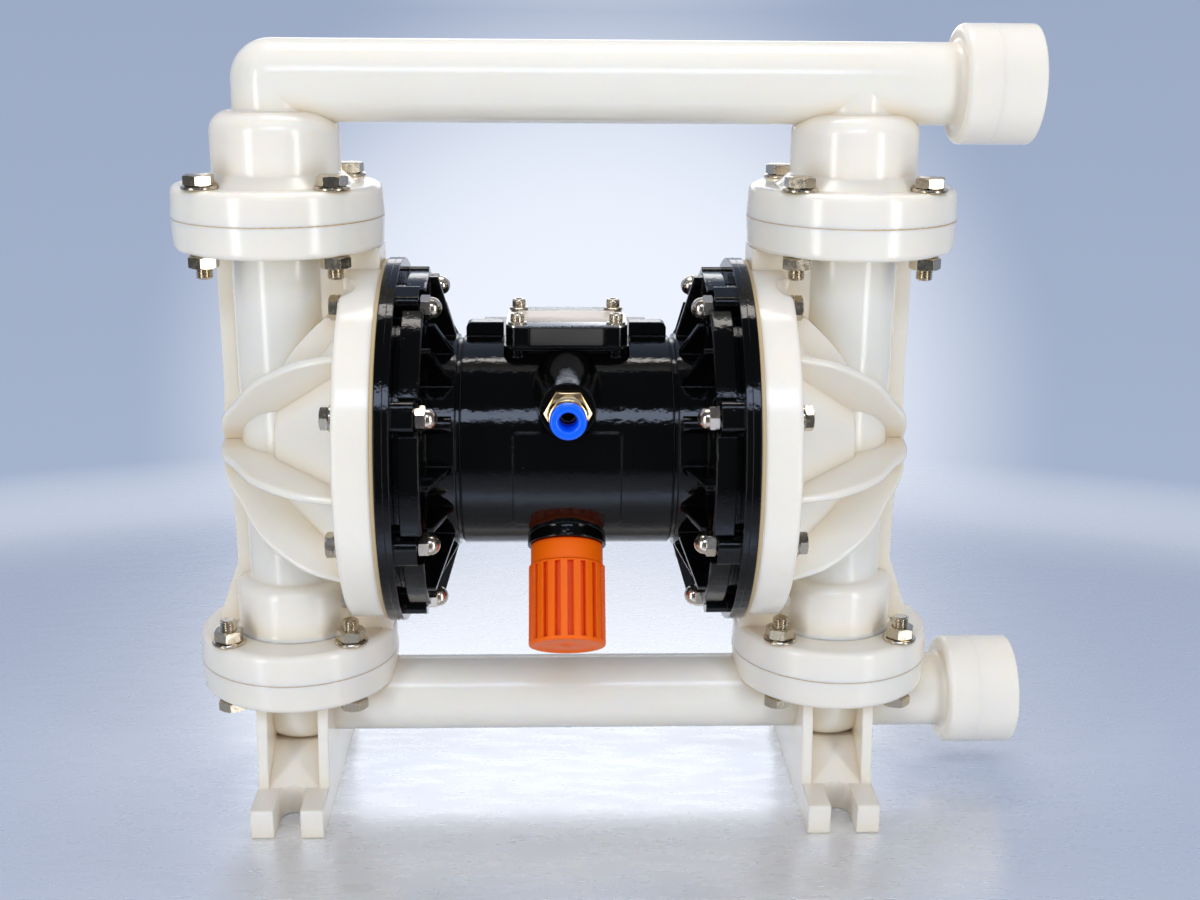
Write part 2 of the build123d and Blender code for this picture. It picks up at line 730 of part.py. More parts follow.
def centre_body():
    body = rod_x(body_r, -body_half, body_half)
    body += block((-body_half, body_half), (0, valve_pad_rear_y), (valve_pad_low_z, valve_pad_top_z))
    body += ridge_plate()
    root = Pos(0, -inlet_boss_y, inlet_z) * Rot(-90, 0, 0)
    body += root * Cone(inlet_boss_r, inlet_boss_root_r, inlet_boss_length, align=base)
    body += exhaust_axis() * exhaust_boss()
    body -= cover_seat_cut()
    body += cover_pedestal()
    body -= cover_holes(cover_seat_z - screw_depth, cover_seat_z)
    body += raised_field()
    body -= rod_x(shaft_r + body_gap, -body_half, body_half)
    for way in (-1, 1):
        bush_end = way * (body_half - shaft_seal_length - bush_length)
        body -= rod_x(bush_r + seat_fit, bush_end, way * body_half)
        hole = rod_x(screw_r + seat_fit, way * body_half, way * (body_half - screw_depth))
        body -= round_chamber_screws(hole)
    body -= rod_x(pilot_r + running_fit, -body_half, body_half, pilot_y, pilot_z)
    body -= rod_y(inlet_thread_r + seat_fit, -inlet_boss_y, -inlet_boss_y + inlet_thread_depth, z=inlet_z)
    body -= rod_y(inlet_duct_r, -inlet_boss_y, -inlet_boss_y + inlet_duct_depth, z=inlet_z)
    body -= exhaust_axis() * rod_z(exhaust_thread_r + seat_fit, exhaust_duct_depth, exhaust_boss_reach)
    for x, z in valve_screw_points():
        body -= rod_y(screw_r + seat_fit, valve_pad_rear_y - screw_depth, valve_pad_rear_y, x, z)
    return body


def ridge_plate():
    """Upright plate across the top of the centre body."""
    corners = [(-ridge_half_x, 0, 0), (-ridge_half_x, ridge_top_z, ridge_round),
               (ridge_half_x, ridge_top_z, ridge_round), (ridge_half_x, 0, 0)]
    front, rear = ridge_y
    return Pos(0, rear, 0) * extrude(Plane.XZ * outline(*corners), rear - front)


def exhaust_boss():
    """Boss for the silencer, wider at its root, drawn along +Z."""
    neck = exhaust_boss_reach - exhaust_neck_length
    corners = [(0, 0, 0), (exhaust_root_r, 0, 0), (exhaust_root_r, exhaust_root_rise, 2),
               (exhaust_boss_r, neck, 4), (exhaust_boss_r, exhaust_boss_reach, edge_break),
               (0, exhaust_boss_reach, 0)]
    return turned_z(0, *corners)


def cover_seat_cut():
    """Flat cut into the top of the centre body for the cover block."""
    wide = cover_half_x + cover_lip_reach + cover_seat_room
    deep = cover_half_y + cover_lip_reach + cover_seat_room
    return block((-wide, wide), (cover_mid_y - deep, cover_mid_y + deep), (cover_seat_z, 2 * body_r))


def cover_pedestal():
    """Pedestal and screw bosses that carry the cover block where the body falls away."""
    low_z = cover_seat_z - pedestal_depth
    half_x = cover_half_x - pedestal_inset
    body = block((-half_x, half_x), (cover_mid_y - cover_half_y + pedestal_inset, cover_mid_y),
                 (low_z, cover_seat_z))
    for x, y in cover_screw_points():
        body += rod_z(cover_corner_r - 1, low_z, cover_seat_z, x, y)
    return body


def raised_field():
    """Slightly raised rectangular field on the front of the centre body."""
    plate = extrude(RectangleRounded(2 * field_half_x, 2 * field_half_height, field_round), 2 * body_r)
    return Rot(field_angle, 0, 0) * plate & rod_x(body_r + field_height, -field_half_x, field_half_x)


def cover_screw_points():
    return [(x, cover_mid_y + y) for x in (-cover_screw_x, cover_screw_x)
            for y in (-cover_screw_y, cover_screw_y)]


def valve_screw_points():
    heights = (valve_low_z + valve_screw_inset, valve_top_z - valve_screw_inset)
    return [(x, z) for x in (-valve_screw_x, valve_screw_x) for z in heights]


def centre_gasket_right():
    disc = rod_x(hub_neck_r - edge_break, body_half, hub_face_x)
    disc -= rod_x(shaft_r + body_gap, body_half, hub_face_x)
    disc -= rod_x(pilot_r + body_gap, body_half, hub_face_x, pilot_y, pilot_z)
    return disc - round_chamber_screws(rod_x(screw_r + seat_fit, body_half, hub_face_x))


def diaphragm_right():
    edge_r = air_flange_r - diaphragm_draw_in
    outer = [(air_flange_x, edge_r), (clamp_face_x, edge_r), (clamp_face_x, chamber_r),
             (clamp_face_x - 1, chamber_r - 8), (outer_plate_x + 1, plate_r + 8), (outer_plate_x, plate_r),
             (outer_plate_x, plate_bolt_r)]
    inner = [(web_face_x, plate_bolt_r), (web_face_x, plate_r), (web_face_x + 1, plate_r + 10),
             (air_flange_x - 3, chamber_r - 6), (air_flange_x, chamber_r - 1)]
    disc = plain_turned(*outer, *inner)
    return disc - round_clamps(rod_x(clamp_hole_r, air_flange_x, clamp_face_x))


def inner_plate_right():
    plate = plain_turned((inner_plate_x, inner_plate_bore_r), (inner_plate_x, plate_r - 2),
                         (inner_plate_x + 2, plate_r), (web_face_x, plate_r),
                         (web_face_x, inner_plate_bore_r))
    return plate - rod_x(shaft_r + seat_fit, inner_plate_x, web_face_x)


def outer_plate_right():
    bore_r = plate_bolt_r + seat_fit
    return plain_turned((outer_plate_x, bore_r), (outer_plate_x, plate_r),
                        (outer_plate_x + outer_plate_rim, plate_r), (plate_bolt_flat_x, plate_boss_r),
                        (plate_bolt_flat_x, bore_r))


def diaphragm_shaft():
    """Shaft with a tapped hole in each end for the plate bolts."""
    shaft = rod_x(shaft_r, -web_face_x, web_face_x)
    for way in (-1, 1):
        hole_end = way * (web_face_x - plate_bolt_depth - screw_play)
        shaft -= rod_x(plate_bolt_r + seat_fit, hole_end, way * web_face_x)
    return shaft


def plate_bolt_right():
    head = Pos(plate_bolt_flat_x, 0, 0) * Rot(0, 90, 0) * hex_bar(plate_bolt_head, plate_bolt_head_height)
    return head + rod_x(plate_bolt_r, web_face_x - plate_bolt_depth, plate_bolt_flat_x)


def shaft_bush_right():
    end = body_half - shaft_seal_length
    return rod_x(bush_r, end - bush_length, end) - rod_x(shaft_r + running_fit, end - bush_length, end)


def shaft_seal_right():
    start = body_half - shaft_seal_length
    return rod_x(seal_r, start, body_half) - rod_x(shaft_r + running_fit, start, body_half)


def pilot_rod():
    """Rod with two shallow necks that switch the pilot air."""
    rod = rod_x(pilot_r, -pilot_half, pilot_half, pilot_y, pilot_z)
    for x in (-pilot_neck_x, pilot_neck_x):
        low, high = x - pilot_neck_half, x + pilot_neck_half
        neck = rod_x(pilot_r + 1, low, high, pilot_y, pilot_z)
        rod -= neck - rod_x(pilot_r - pilot_neck_depth, low, high, pilot_y, pilot_z)
    return rod


def cover_outline(reach, height, z):
    """Rounded rectangle of the cover, widened by reach."""
    width = 2 * (cover_half_x + reach)
    depth = 2 * (cover_half_y + reach)
    return extrude(Pos(0, cover_mid_y, z) * RectangleRounded(width, depth, cover_corner_r), height)


def cover_holes(low, high):
    """Holes for the four cover screws between two heights."""
    return Part() + [rod_z(cover_screw_r + seat_fit, low, high, x, y) for x, y in cover_screw_points()]


def pilot_cover():
    """Cover block with a lip and rounded corner posts; its sides are set back between them."""
    lip_z = cover_low_z + cover_lip
    body = cover_outline(cover_lip_reach, cover_lip, cover_low_z)
    posts = cover_outline(0, cover_height, lip_z)
    post_x = cover_half_x - 2 * cover_corner_r
    for way in (-1, 1):
        edge_y = cover_mid_y + way * cover_half_y
        posts -= block((-post_x, post_x), (edge_y, edge_y - way * cover_side_inset), (lip_z, cover_top_z))
    return body + posts - cover_holes(cover_low_z, cover_top_z)


def pilot_cover_gasket():
    sheet = cover_outline(-cover_gasket_inset, cover_gasket_thick, cover_seat_z)
    return sheet - cover_holes(cover_seat_z, cover_low_z)


def cover_plate():
    sheet = cover_outline(0, cover_plate_thick, cover_top_z)
    return sheet - cover_holes(cover_top_z, cover_top_z + cover_plate_thick)


def cover_screw(x, y):
    """Socket cap screw with its washer."""
    washer_z = cover_top_z + cover_plate_thick
    head_z = washer_z + cover_washer_thick
    top_z = head_z + cover_screw_head
    screw = rod_z(cover_screw_r, cover_seat_z - screw_depth + screw_play, head_z, x, y)
    screw += rod_z(cover_washer_r, washer_z, head_z, x, y)
    screw += rod_z(cover_screw_head_r, head_z, top_z, x, y)
    return screw - Pos(x, y, (head_z + top_z) / 2) * hex_bar(cover_screw_socket, cover_screw_head)


def valve_screw_bores(start, end):
    """Holes for the four valve screws between two depths."""
    return Part() + [rod_y(screw_r + seat_fit, start, end, x, z) for x, z in valve_screw_points()]


def valve_block():
    body = block((-valve_half_x, valve_half_x), (valve_face_y, valve_rear_y), (valve_low_z, valve_top_z))
    rear_edges = body.edges().filter_by(Axis.X).sort_by(Axis.Y)[-2:]
    body = fillet(rear_edges, valve_round)
    body -= rod_x(spool_r + running_fit, -valve_half_x, valve_half_x, spool_y, valve_mid_z)
    return body - valve_screw_bores(valve_face_y, valve_rear_y)


def valve_gasket():
    half_x = valve_half_x - valve_gasket_inset
    sheet = block((-half_x, half_x), (valve_pad_rear_y, valve_face_y),
                  (valve_low_z + valve_gasket_inset, valve_top_z - valve_gasket_inset))
    return sheet - valve_screw_bores(valve_pad_rear_y, valve_face_y)


def valve_end_cap_right():
    """End cap with a spigot that closes the spool bore."""
    cap = block((valve_half_x, valve_half_x + valve_cap_thick),
                (valve_face_y + valve_cap_inset, valve_rear_y - valve_cap_inset),
                (valve_low_z + valve_cap_inset, valve_top_z - valve_cap_inset))
    cap = fillet(cap.faces().sort_by(Axis.X)[-1].edges(), valve_cap_round)
    spigot_x = spool_half + spool_travel + body_gap
    return cap + rod_x(spool_r, spigot_x, valve_half_x, spool_y, valve_mid_z)


def valve_spool():
    """Spool with three lands; the waists between them join the valve's air ways."""
    spool = rod_x(spool_r, -spool_half, spool_half, spool_y, valve_mid_z)
    for way in (-1, 1):
        start, end = way * spool_land / 2, way * (spool_half - spool_land)
        ring = rod_x(spool_r + 1, start, end, spool_y, valve_mid_z)
        spool -= ring - rod_x(spool_waist_r, start, end, spool_y, valve_mid_z)
    return spool


def valve_block_screw(x, z):
    screw = rod_y(screw_r, valve_pad_rear_y - screw_depth + screw_play, valve_rear_y, x, z)
    return screw + rod_y(screw_head_r, valve_rear_y, valve_rear_y + screw_head, x, z)


def muffler_body():
    """Fluted silencer shell on a threaded neck, drawn along +Z and turned to its axis."""
    start = exhaust_boss_reach
    groove_start = start + muffler_band_length
    shell = rod_z(muffler_band_r, start, groove_start) + rod_z(muffler_r, groove_start, muffler_end)
    groove_low = muffler_r - muffler_groove_depth
    groove = block((-muffler_groove_width / 2, muffler_groove_width / 2),
                   (groove_low, muffler_r + muffler_wall), (groove_start, muffler_end - muffler_lip))
    shell -= [Rot(0, 0, i * 360 / muffler_groove_count) * groove for i in range(muffler_groove_count)]
    shell -= rod_z(groove_low - muffler_wall, start + muffler_wall, muffler_end - muffler_wall)
    shell += rod_z(muffler_neck_r, start - muffler_neck_length, start + muffler_wall)
    shell -= rod_z(muffler_neck_bore_r, start - muffler_neck_length, start + muffler_wall)
    return exhaust_axis() * shell


def muffler_core():
    """Porous sleeve between the silencer's two ends."""
    low = exhaust_boss_reach + muffler_wall
    high = muffler_end - muffler_wall
    return exhaust_axis() * (rod_z(core_r, low, high) - rod_z(core_r - core_wall, low, high))


def air_inlet_fitting():
    """Hexagonal body with a stepped bore: the collet's space, then the tube stop."""
    hex_y = inlet_boss_y + fitting_hex_thick
    end_y = hex_y + fitting_barrel_length
    thread_y = -inlet_boss_y + inlet_thread_depth
    body = Pos(0, -inlet_boss_y, inlet_z) * Rot(90, 0, 0) * hex_bar(fitting_hex, fitting_hex_thick)
    body += rod_y(inlet_thread_r, thread_y - 1, -inlet_boss_y, z=inlet_z)
    body += rod_y(fitting_barrel_r, -hex_y, -end_y, z=inlet_z)
    body -= rod_y(fitting_bore_r, -end_y, -end_y + fitting_stop_depth, z=inlet_z)
    return body - rod_y(fitting_duct_r, -end_y, thread_y, z=inlet_z)


def release_collet():
    """Release ring: a flange with a thin sleeve that slides in the fitting's bore."""
    rear = -collet_flange_y
    ring = rod_y(collet_flange_r, rear - collet_flange_thick, rear, z=inlet_z)
    ring += rod_y(fitting_bore_r - running_fit, rear, rear + collet_sleeve_length, z=inlet_z)
    return ring - rod_y(tube_r, rear - collet_flange_thick, rear + collet_sleeve_length, z=inlet_z)


def valve_seat(x, seam):
    """Seat ring whose bore is dished to the ball."""
    ring = rod_z(seat_r, seam - seat_thick / 2, seam + seat_thick / 2, x)
    ring -= rod_z(seat_bore_r, seam - seat_thick / 2, seam + seat_thick / 2, x)
    return ring - Pos(x, 0, seam + ball_rise) * Sphere(ball_r + running_fit)


def stack_bolt(x, y, head_z, way):
    """Hexagon bolt whose head bears at head_z and whose shank runs towards way."""
    grip = 2 * flange_thick + flange_washer_thick
    shank_end = head_z + way * (grip + flange_nut_height + flange_bolt_spare)
    bolt = rod_z(flange_bolt_r, head_z, shank_end, x, y)
    head_low = head_z - flange_bolt_head if way > 0 else head_z
    return bolt + Pos(x, y, head_low) * hex_bar(flange_bolt_hex, flange_bolt_head)


def stack_nut(x, y, z):
    nut = Pos(x, y, z) * hex_bar(flange_bolt_hex, flange_nut_height)
    return nut - rod_z(flange_bolt_r + seat_fit, z, z + flange_nut_height, x, y)


def stack_washer(x, y, z):
    disc = rod_z(flange_washer_r, z, z + flange_washer_thick, x, y)
    return disc - rod_z(flange_bolt_r + seat_fit, z, z + flange_washer_thick, x, y)


def clamp_bolt():
    """Clamp bolt on the shaft axis, to be moved out to its circle."""
    head_x = clamp_outer_x + clamp_washer_thick
    head = Pos(head_x, 0, 0) * Rot(0, 90, 0) * hex_bar(clamp_bolt_hex, clamp_bolt_head)
    return head + rod_x(clamp_bolt_r, lug_x - cap_nut_hex_height, head_x)


def clamp_washer():
    end = clamp_outer_x + clamp_washer_thick
    return rod_x(clamp_washer_r, clamp_outer_x, end) - rod_x(clamp_bolt_r + seat_fit, clamp_outer_x, end)


def cap_nut():
    """Domed cap nut that bears on a lug."""
    nut = Pos(lug_x - cap_nut_hex_height, 0, 0) * Rot(0, 90, 0) * hex_bar(clamp_bolt_hex, cap_nut_hex_height)
    nut += Pos(lug_x - cap_nut_hex_height, 0, 0) * Sphere(cap_nut_dome_r)
    return nut - rod_x(clamp_bolt_r + seat_fit, lug_x - cap_nut_hex_height - body_gap, lug_x + cap_nut_dome_r)


def both_sides(*shapes):
    """The given right-hand pieces and their mirror images, as one node."""
    return Compound(children=[*shapes, *[mirror(shape, Plane.YZ) for shape in shapes]])


def stack_set(make, *places):
    return Compound(children=[make(x, y, *places) for x, y in flange_points()])


save("discharge_manifold", discharge_manifold())
save("suction_manifold", suction_manifold())
save("centre_body", centre_body())
for name, right in (("fluid_cap", fluid_cap_right()), ("air_chamber", air_chamber_right()),
                    ("diaphragm", diaphragm_right())):
    save(f"{name}_right", right)
    save(f"{name}_left", mirror(right, Plane.YZ))
save("centre_gaskets", both_sides(centre_gasket_right()))
save("chamber_screws", both_sides(*round_chamber_screws(chamber_screw())))
save("diaphragm_shaft", diaphragm_shaft())
save("inner_plates", both_sides(inner_plate_right()))
save("outer_plates", both_sides(outer_plate_right()))
save("plate_bolts", both_sides(plate_bolt_right()))
save("shaft_bushes", both_sides(shaft_bush_right()))
save("shaft_seals", both_sides(shaft_seal_right()))
save("pilot_rod", pilot_rod())
save("pilot_cover", pilot_cover())
save("pilot_cover_gasket", pilot_cover_gasket())
save("cover_plate", cover_plate())
save("cover_screws", Compound(children=[cover_screw(x, y) for x, y in cover_screw_points()]))
save("valve_block", valve_block())
save("valve_gasket", valve_gasket())
save("valve_end_caps", both_sides(valve_end_cap_right()))
save("valve_spool", valve_spool())
save("valve_block_screws", Compound(children=[valve_block_screw(x, z) for x, z in valve_screw_points()]))
save("muffler_body", muffler_body())
save("muffler_core", muffler_core())
save("air_inlet_fitting", air_inlet_fitting())
save("release_collet", release_collet())

seals = []
for side, sign in sides.items():
    for service, seam in (("discharge", seam_half), ("suction", -seam_half)):
        save(f"{service}_seat_{side}", valve_seat(sign * column_x, seam))
        save(f"{service}_ball_{side}", Pos(sign * column_x, 0, seam + ball_rise) * Sphere(ball_r))
        seals.append(flat_seal(sign * column_x, seam))
save("seat_seals", Compound(children=seals))

high_face = seam_half + flange_thick
low_face = -seam_half + flange_thick
save("discharge_flange_bolts", stack_set(stack_bolt, high_face + flange_washer_thick, -1))
save("discharge_flange_washers", stack_set(stack_washer, high_face))
save("discharge_flange_nuts", stack_set(stack_nut, seam_half - flange_thick - flange_nut_height))
save("suction_flange_bolts", stack_set(stack_bolt, flange_low_z, 1))
save("suction_flange_washers", stack_set(stack_washer, low_face))
save("suction_flange_nuts", stack_set(stack_nut, low_face + flange_washer_thick))
save("clamp_bolts", both_sides(*round_clamps(clamp_bolt())))
save("clamp_washers", both_sides(*round_clamps(clamp_washer())))
save("clamp_cap_nuts", both_sides(*round_clamps(cap_nut())))
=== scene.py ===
import bpy
import bmesh
from math import atan2, cos, pi, radians, sin, sqrt, tan
from mathutils import Matrix, Vector


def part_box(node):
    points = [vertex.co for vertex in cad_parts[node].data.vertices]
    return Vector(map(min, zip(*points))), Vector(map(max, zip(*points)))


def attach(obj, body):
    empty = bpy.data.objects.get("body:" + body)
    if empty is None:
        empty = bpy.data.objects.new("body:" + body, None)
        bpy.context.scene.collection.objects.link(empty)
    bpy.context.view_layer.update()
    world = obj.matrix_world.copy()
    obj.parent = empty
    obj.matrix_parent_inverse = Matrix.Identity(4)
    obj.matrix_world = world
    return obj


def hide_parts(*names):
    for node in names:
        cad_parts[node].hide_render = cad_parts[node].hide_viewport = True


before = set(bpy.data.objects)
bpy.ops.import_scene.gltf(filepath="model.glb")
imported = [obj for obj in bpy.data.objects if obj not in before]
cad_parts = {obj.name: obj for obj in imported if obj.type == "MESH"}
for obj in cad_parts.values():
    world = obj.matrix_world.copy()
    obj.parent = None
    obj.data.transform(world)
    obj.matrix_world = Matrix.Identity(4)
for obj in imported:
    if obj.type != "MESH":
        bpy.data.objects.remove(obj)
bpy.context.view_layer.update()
mm = 0.001
# mm, for several pieces: height of the shaft, columns from the middle, flange joints from the shaft
shaftHeight, columnX, seamZ = 233.0, 172.0, 140.0
print("stage: frame loaded,", len(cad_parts), "nodes")


def linearColor(hexCode):
    # sRGB hex to the linear values that the shader sockets hold
    out = []
    for i in (1, 3, 5):
        c = int(hexCode[i:i + 2], 16) / 255
        out.append(c / 12.92 if c <= 0.04045 else ((c + 0.055) / 1.055) ** 2.4)
    return (*out, 1.0)


def newMaterial(name):
    mat = bpy.data.materials.new(name)
    mat.use_nodes = True
    return mat, mat.node_tree, mat.node_tree.nodes["Principled BSDF"]


def addNode(tree, kind, values=None, links=None, **settings):
    # one node, its own settings, its socket values and its links in
    node = tree.nodes.new(kind)
    for key, value in settings.items():
        setattr(node, key, value)
    for socket, value in (values or {}).items():
        node.inputs[socket].default_value = value
    for socket, source in (links or {}).items():
        tree.links.new(source, node.inputs[socket])
    return node


def setBsdf(bsdf, **values):
    for key, value in values.items():
        bsdf.inputs[key.replace("_", " ")].default_value = value


def rampColors(node, stops):
    ramp = node.color_ramp
    while len(ramp.elements) < len(stops):
        ramp.elements.new(0.5)
    for element, (place, color) in zip(ramp.elements, stops):
        element.position = place
        element.color = color


def noiseAt(tree, coords, sizeMm, detail=2.0):
    return addNode(tree, "ShaderNodeTexNoise", {"Scale": 1 / (sizeMm * mm), "Detail": detail},
                   {"Vector": coords.outputs["Object"]})


def bumpOver(tree, height, normal, strength, deepMm):
    links = {"Height": height}
    if normal:
        links["Normal"] = normal
    return addNode(tree, "ShaderNodeBump", {"Strength": strength, "Distance": deepMm * mm}, links)


# Natural polypropylene, injection moulded: milky white, light bleeds in at the edges, soft gloss,
# with painted shade: a warm tan laid into its creases
def naturalPolypropylene():
    look = {"color": "#F6F3EC", "cloud": "#F1EBE0", "paintedCreaseShade": "#E2CB9E", "paintedShadeShare": 0.5,
            "rough": 0.16, "bleed": 0.4, "bleedMm": 7.0, "cloudMm": 70.0, "paintedShadeReachMm": 14.0,
            "edgeMm": 1.8, "rippleMm": 16.0, "rippleDeepMm": 0.5}
    mat, tree, bsdf = newMaterial("naturalPolypropylene")
    coords = addNode(tree, "ShaderNodeTexCoord")
    cloud = noiseAt(tree, coords, look["cloudMm"])
    tint = addNode(tree, "ShaderNodeMix", {6: linearColor(look["color"]),
                                           7: linearColor(look["cloud"])},
                   {0: cloud.outputs["Fac"]}, data_type="RGBA")
    # painted shade: ambient occlusion finds creases and corners, and the tan colour is mixed in
    # there
    paintedShadeMask = addNode(tree, "ShaderNodeAmbientOcclusion", {"Distance": look["paintedShadeReachMm"] * mm},
                   samples=4)
    depth = addNode(tree, "ShaderNodeMapRange", {"From Min": 0.35, "From Max": 0.95, "To Max": 0.0,
                                                 "To Min": look["paintedShadeShare"]},
                    {"Value": paintedShadeMask.outputs["AO"]})
    paintedShadeMix = addNode(tree, "ShaderNodeMix", {7: linearColor(look["paintedCreaseShade"])},
                   {0: depth.outputs["Result"], 6: tint.outputs[2]}, data_type="RGBA")
    tree.links.new(paintedShadeMix.outputs[2], bsdf.inputs["Base Color"])
    edge = addNode(tree, "ShaderNodeBevel", {"Radius": look["edgeMm"] * mm}, samples=4)
    ripple = noiseAt(tree, coords, look["rippleMm"], 1.0)
    bump = bumpOver(tree, ripple.outputs["Fac"], edge.outputs["Normal"], 0.08, look["rippleDeepMm"])
    tree.links.new(bump.outputs["Normal"], bsdf.inputs["Normal"])
    setBsdf(bsdf, Roughness=look["rough"], IOR=1.49, Subsurface_Weight=look["bleed"],
            Subsurface_Radius=(1.0, 0.72, 0.42), Subsurface_Scale=look["bleedMm"] * mm)
    return mat


# Gloss black enamel over a sand casting: mirror-like, with the casting's skin and dust nibs in it
def blackEnamel():
    look = {"color": "#060606", "rough": 0.07, "waveMm": 6.0, "waveDeepMm": 0.3, "skinMm": 2.2,
            "skinDeepMm": 0.12, "nibMm": 9.0, "nibShare": 0.09, "nibDeepMm": 0.2, "edgeMm": 1.3}
    mat, tree, bsdf = newMaterial("blackEnamel")
    coords = addNode(tree, "ShaderNodeTexCoord")
    wave = noiseAt(tree, coords, look["waveMm"], 2.0)
    skin = noiseAt(tree, coords, look["skinMm"], 3.0)
    nib = addNode(tree, "ShaderNodeTexVoronoi", {"Scale": 1 / (look["nibMm"] * mm)},
                  {"Vector": coords.outputs["Object"]})
    nibHeight = addNode(tree, "ShaderNodeMapRange", {"From Max": look["nibShare"], "To Min": 1.0,
                                                     "To Max": 0.0},
                        {"Value": nib.outputs["Distance"]})
    edge = addNode(tree, "ShaderNodeBevel", {"Radius": look["edgeMm"] * mm}, samples=4)
    waves = bumpOver(tree, wave.outputs["Fac"], edge.outputs["Normal"], 0.45, look["waveDeepMm"])
    skins = bumpOver(tree, skin.outputs["Fac"], waves.outputs["Normal"], 0.5, look["skinDeepMm"])
    nibs = bumpOver(tree, nibHeight.outputs["Result"], skins.outputs["Normal"], 0.5,
                    look["nibDeepMm"])
    tree.links.new(nibs.outputs["Normal"], bsdf.inputs["Normal"])
    setBsdf(bsdf, Base_Color=linearColor(look["color"]), Roughness=look["rough"], IOR=1.4)
    return mat


# Metals: cold headed steel, nickel plate, brass and rolled sheet, told apart by tone and roughness
def metalFinish(name, color, rough, grainMm=3.0, edgeMm=0.25):
    mat, tree, bsdf = newMaterial(name)
    coords = addNode(tree, "ShaderNodeTexCoord")
    grain = noiseAt(tree, coords, grainMm, 5.0)
    spread = addNode(tree, "ShaderNodeMapRange", {"From Min": 0.3, "From Max": 0.7,
                                                  "To Min": rough - 0.05, "To Max": rough + 0.08},
                     {"Value": grain.outputs["Fac"]})
    tree.links.new(spread.outputs["Result"], bsdf.inputs["Roughness"])
    edge = addNode(tree, "ShaderNodeBevel", {"Radius": edgeMm * mm}, samples=4)
    bump = bumpOver(tree, grain.outputs["Fac"], edge.outputs["Normal"], 0.15, 0.03)
    tree.links.new(bump.outputs["Normal"], bsdf.inputs["Normal"])
    setBsdf(bsdf, Base_Color=linearColor(color), Metallic=1.0)
    return mat


# Plastics, rubber and dull paint: one colour, a fine grain and a soft edge; where a darker colour
# is given, painted shade in the grooves and hollows
def plainPlastic(name, color, rough, grainMm=1.5, edgeMm=0.4, paintedGrooveShade=None, shine=0.5):
    mat, tree, bsdf = newMaterial(name)
    coords = addNode(tree, "ShaderNodeTexCoord")
    if paintedGrooveShade:
        # painted shade: the darker colour is laid where ambient occlusion finds hollows
        paintedShadeMask = addNode(tree, "ShaderNodeAmbientOcclusion", {"Distance": 4 * mm}, samples=4)
        tint = addNode(tree, "ShaderNodeMix", {6: linearColor(paintedGrooveShade), 7: linearColor(color)},
                       {0: paintedShadeMask.outputs["AO"]}, data_type="RGBA")
        tree.links.new(tint.outputs[2], bsdf.inputs["Base Color"])
    grain = noiseAt(tree, coords, grainMm, 3.0)
    edge = addNode(tree, "ShaderNodeBevel", {"Radius": edgeMm * mm}, samples=4)
    bump = bumpOver(tree, grain.outputs["Fac"], edge.outputs["Normal"], 0.12, 0.05)
    tree.links.new(bump.outputs["Normal"], bsdf.inputs["Normal"])
    setBsdf(bsdf, Base_Color=linearColor(color), Roughness=rough, IOR=1.49,
            Specular_IOR_Level=shine)
    return mat


finishes = {
    "polypropylene": naturalPolypropylene(),
    "enamel": blackEnamel(),
    "steel": metalFinish("stainlessSteel", "#D0C4AF", 0.23),
    "nickel": metalFinish("nickelPlate", "#E0D3C2", 0.21, 6.0),
    "brass": metalFinish("brightBrass", "#E6C896", 0.16, 5.0),
    "bronze": metalFinish("sinteredBronze", "#B98A4E", 0.4),
    "aluminium": metalFinish("rolledAluminium", "#C9C7C2", 0.24),
    # the orange silencer gets painted shade, a deep red, in its flutes
    "orange": plainPlastic("orangePolypropylene", "#FF6C04", 0.42, 1.5, 0.5, "#D92E02", 0.25),
    "blue": plainPlastic("blueAcetal", "#0A66FF", 0.22, 4.0, 0.3),
    "rubber": plainPlastic("nitrileRubber", "#1A1A1A", 0.6),
    "facing": plainPlastic("creamDiaphragmFacing", "#C7B086", 0.45),
    "ridge": plainPlastic("mouldPartingRidge", "#F5F1E8", 0.2, 1.5, 0.05),
    # painted shade: tan colour of the ring laid in each flange joint
    "seam": plainPlastic("paintedSeamShade", "#C9A15C", 0.5),
    "field": plainPlastic("satinBlankField", "#DCD2C6", 0.38, 2.0),
    "dullGrey": plainPlastic("dullGreyPanel", "#403E3C", 0.5, 0.7),
}
cadFinish = {
    "polypropylene": ["discharge_manifold", "suction_manifold", "fluid_cap_left", "fluid_cap_right",
                      "outer_plates", "muffler_core", "discharge_seat_left", "discharge_seat_right",
                      "suction_seat_left", "suction_seat_right"],
    "enamel": ["air_chamber_left", "air_chamber_right", "centre_body", "pilot_cover", "valve_block",
               "valve_end_caps"],
    "steel": ["discharge_flange_bolts", "discharge_flange_washers", "discharge_flange_nuts",
              "suction_flange_bolts", "suction_flange_washers", "suction_flange_nuts",
              "clamp_bolts", "clamp_washers", "cover_screws", "diaphragm_shaft", "pilot_rod",
              "plate_bolts", "chamber_screws", "valve_block_screws"],
    "nickel": ["clamp_cap_nuts"],
    "brass": ["air_inlet_fitting"],
    "bronze": ["shaft_bushes"],
    "aluminium": ["cover_plate", "inner_plates", "valve_spool"],
    "orange": ["muffler_body"],
    "blue": ["release_collet"],
    "facing": ["diaphragm_left", "diaphragm_right"],
    "rubber": ["seat_seals", "shaft_seals", "centre_gaskets", "pilot_cover_gasket", "valve_gasket",
               "discharge_ball_left", "discharge_ball_right", "suction_ball_left",
               "suction_ball_right"],
}
for finish, nodes in cadFinish.items():
    for node in nodes:
        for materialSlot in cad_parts[node].material_slots:
            materialSlot.material = finishes[finish]
print("stage: materials assigned")


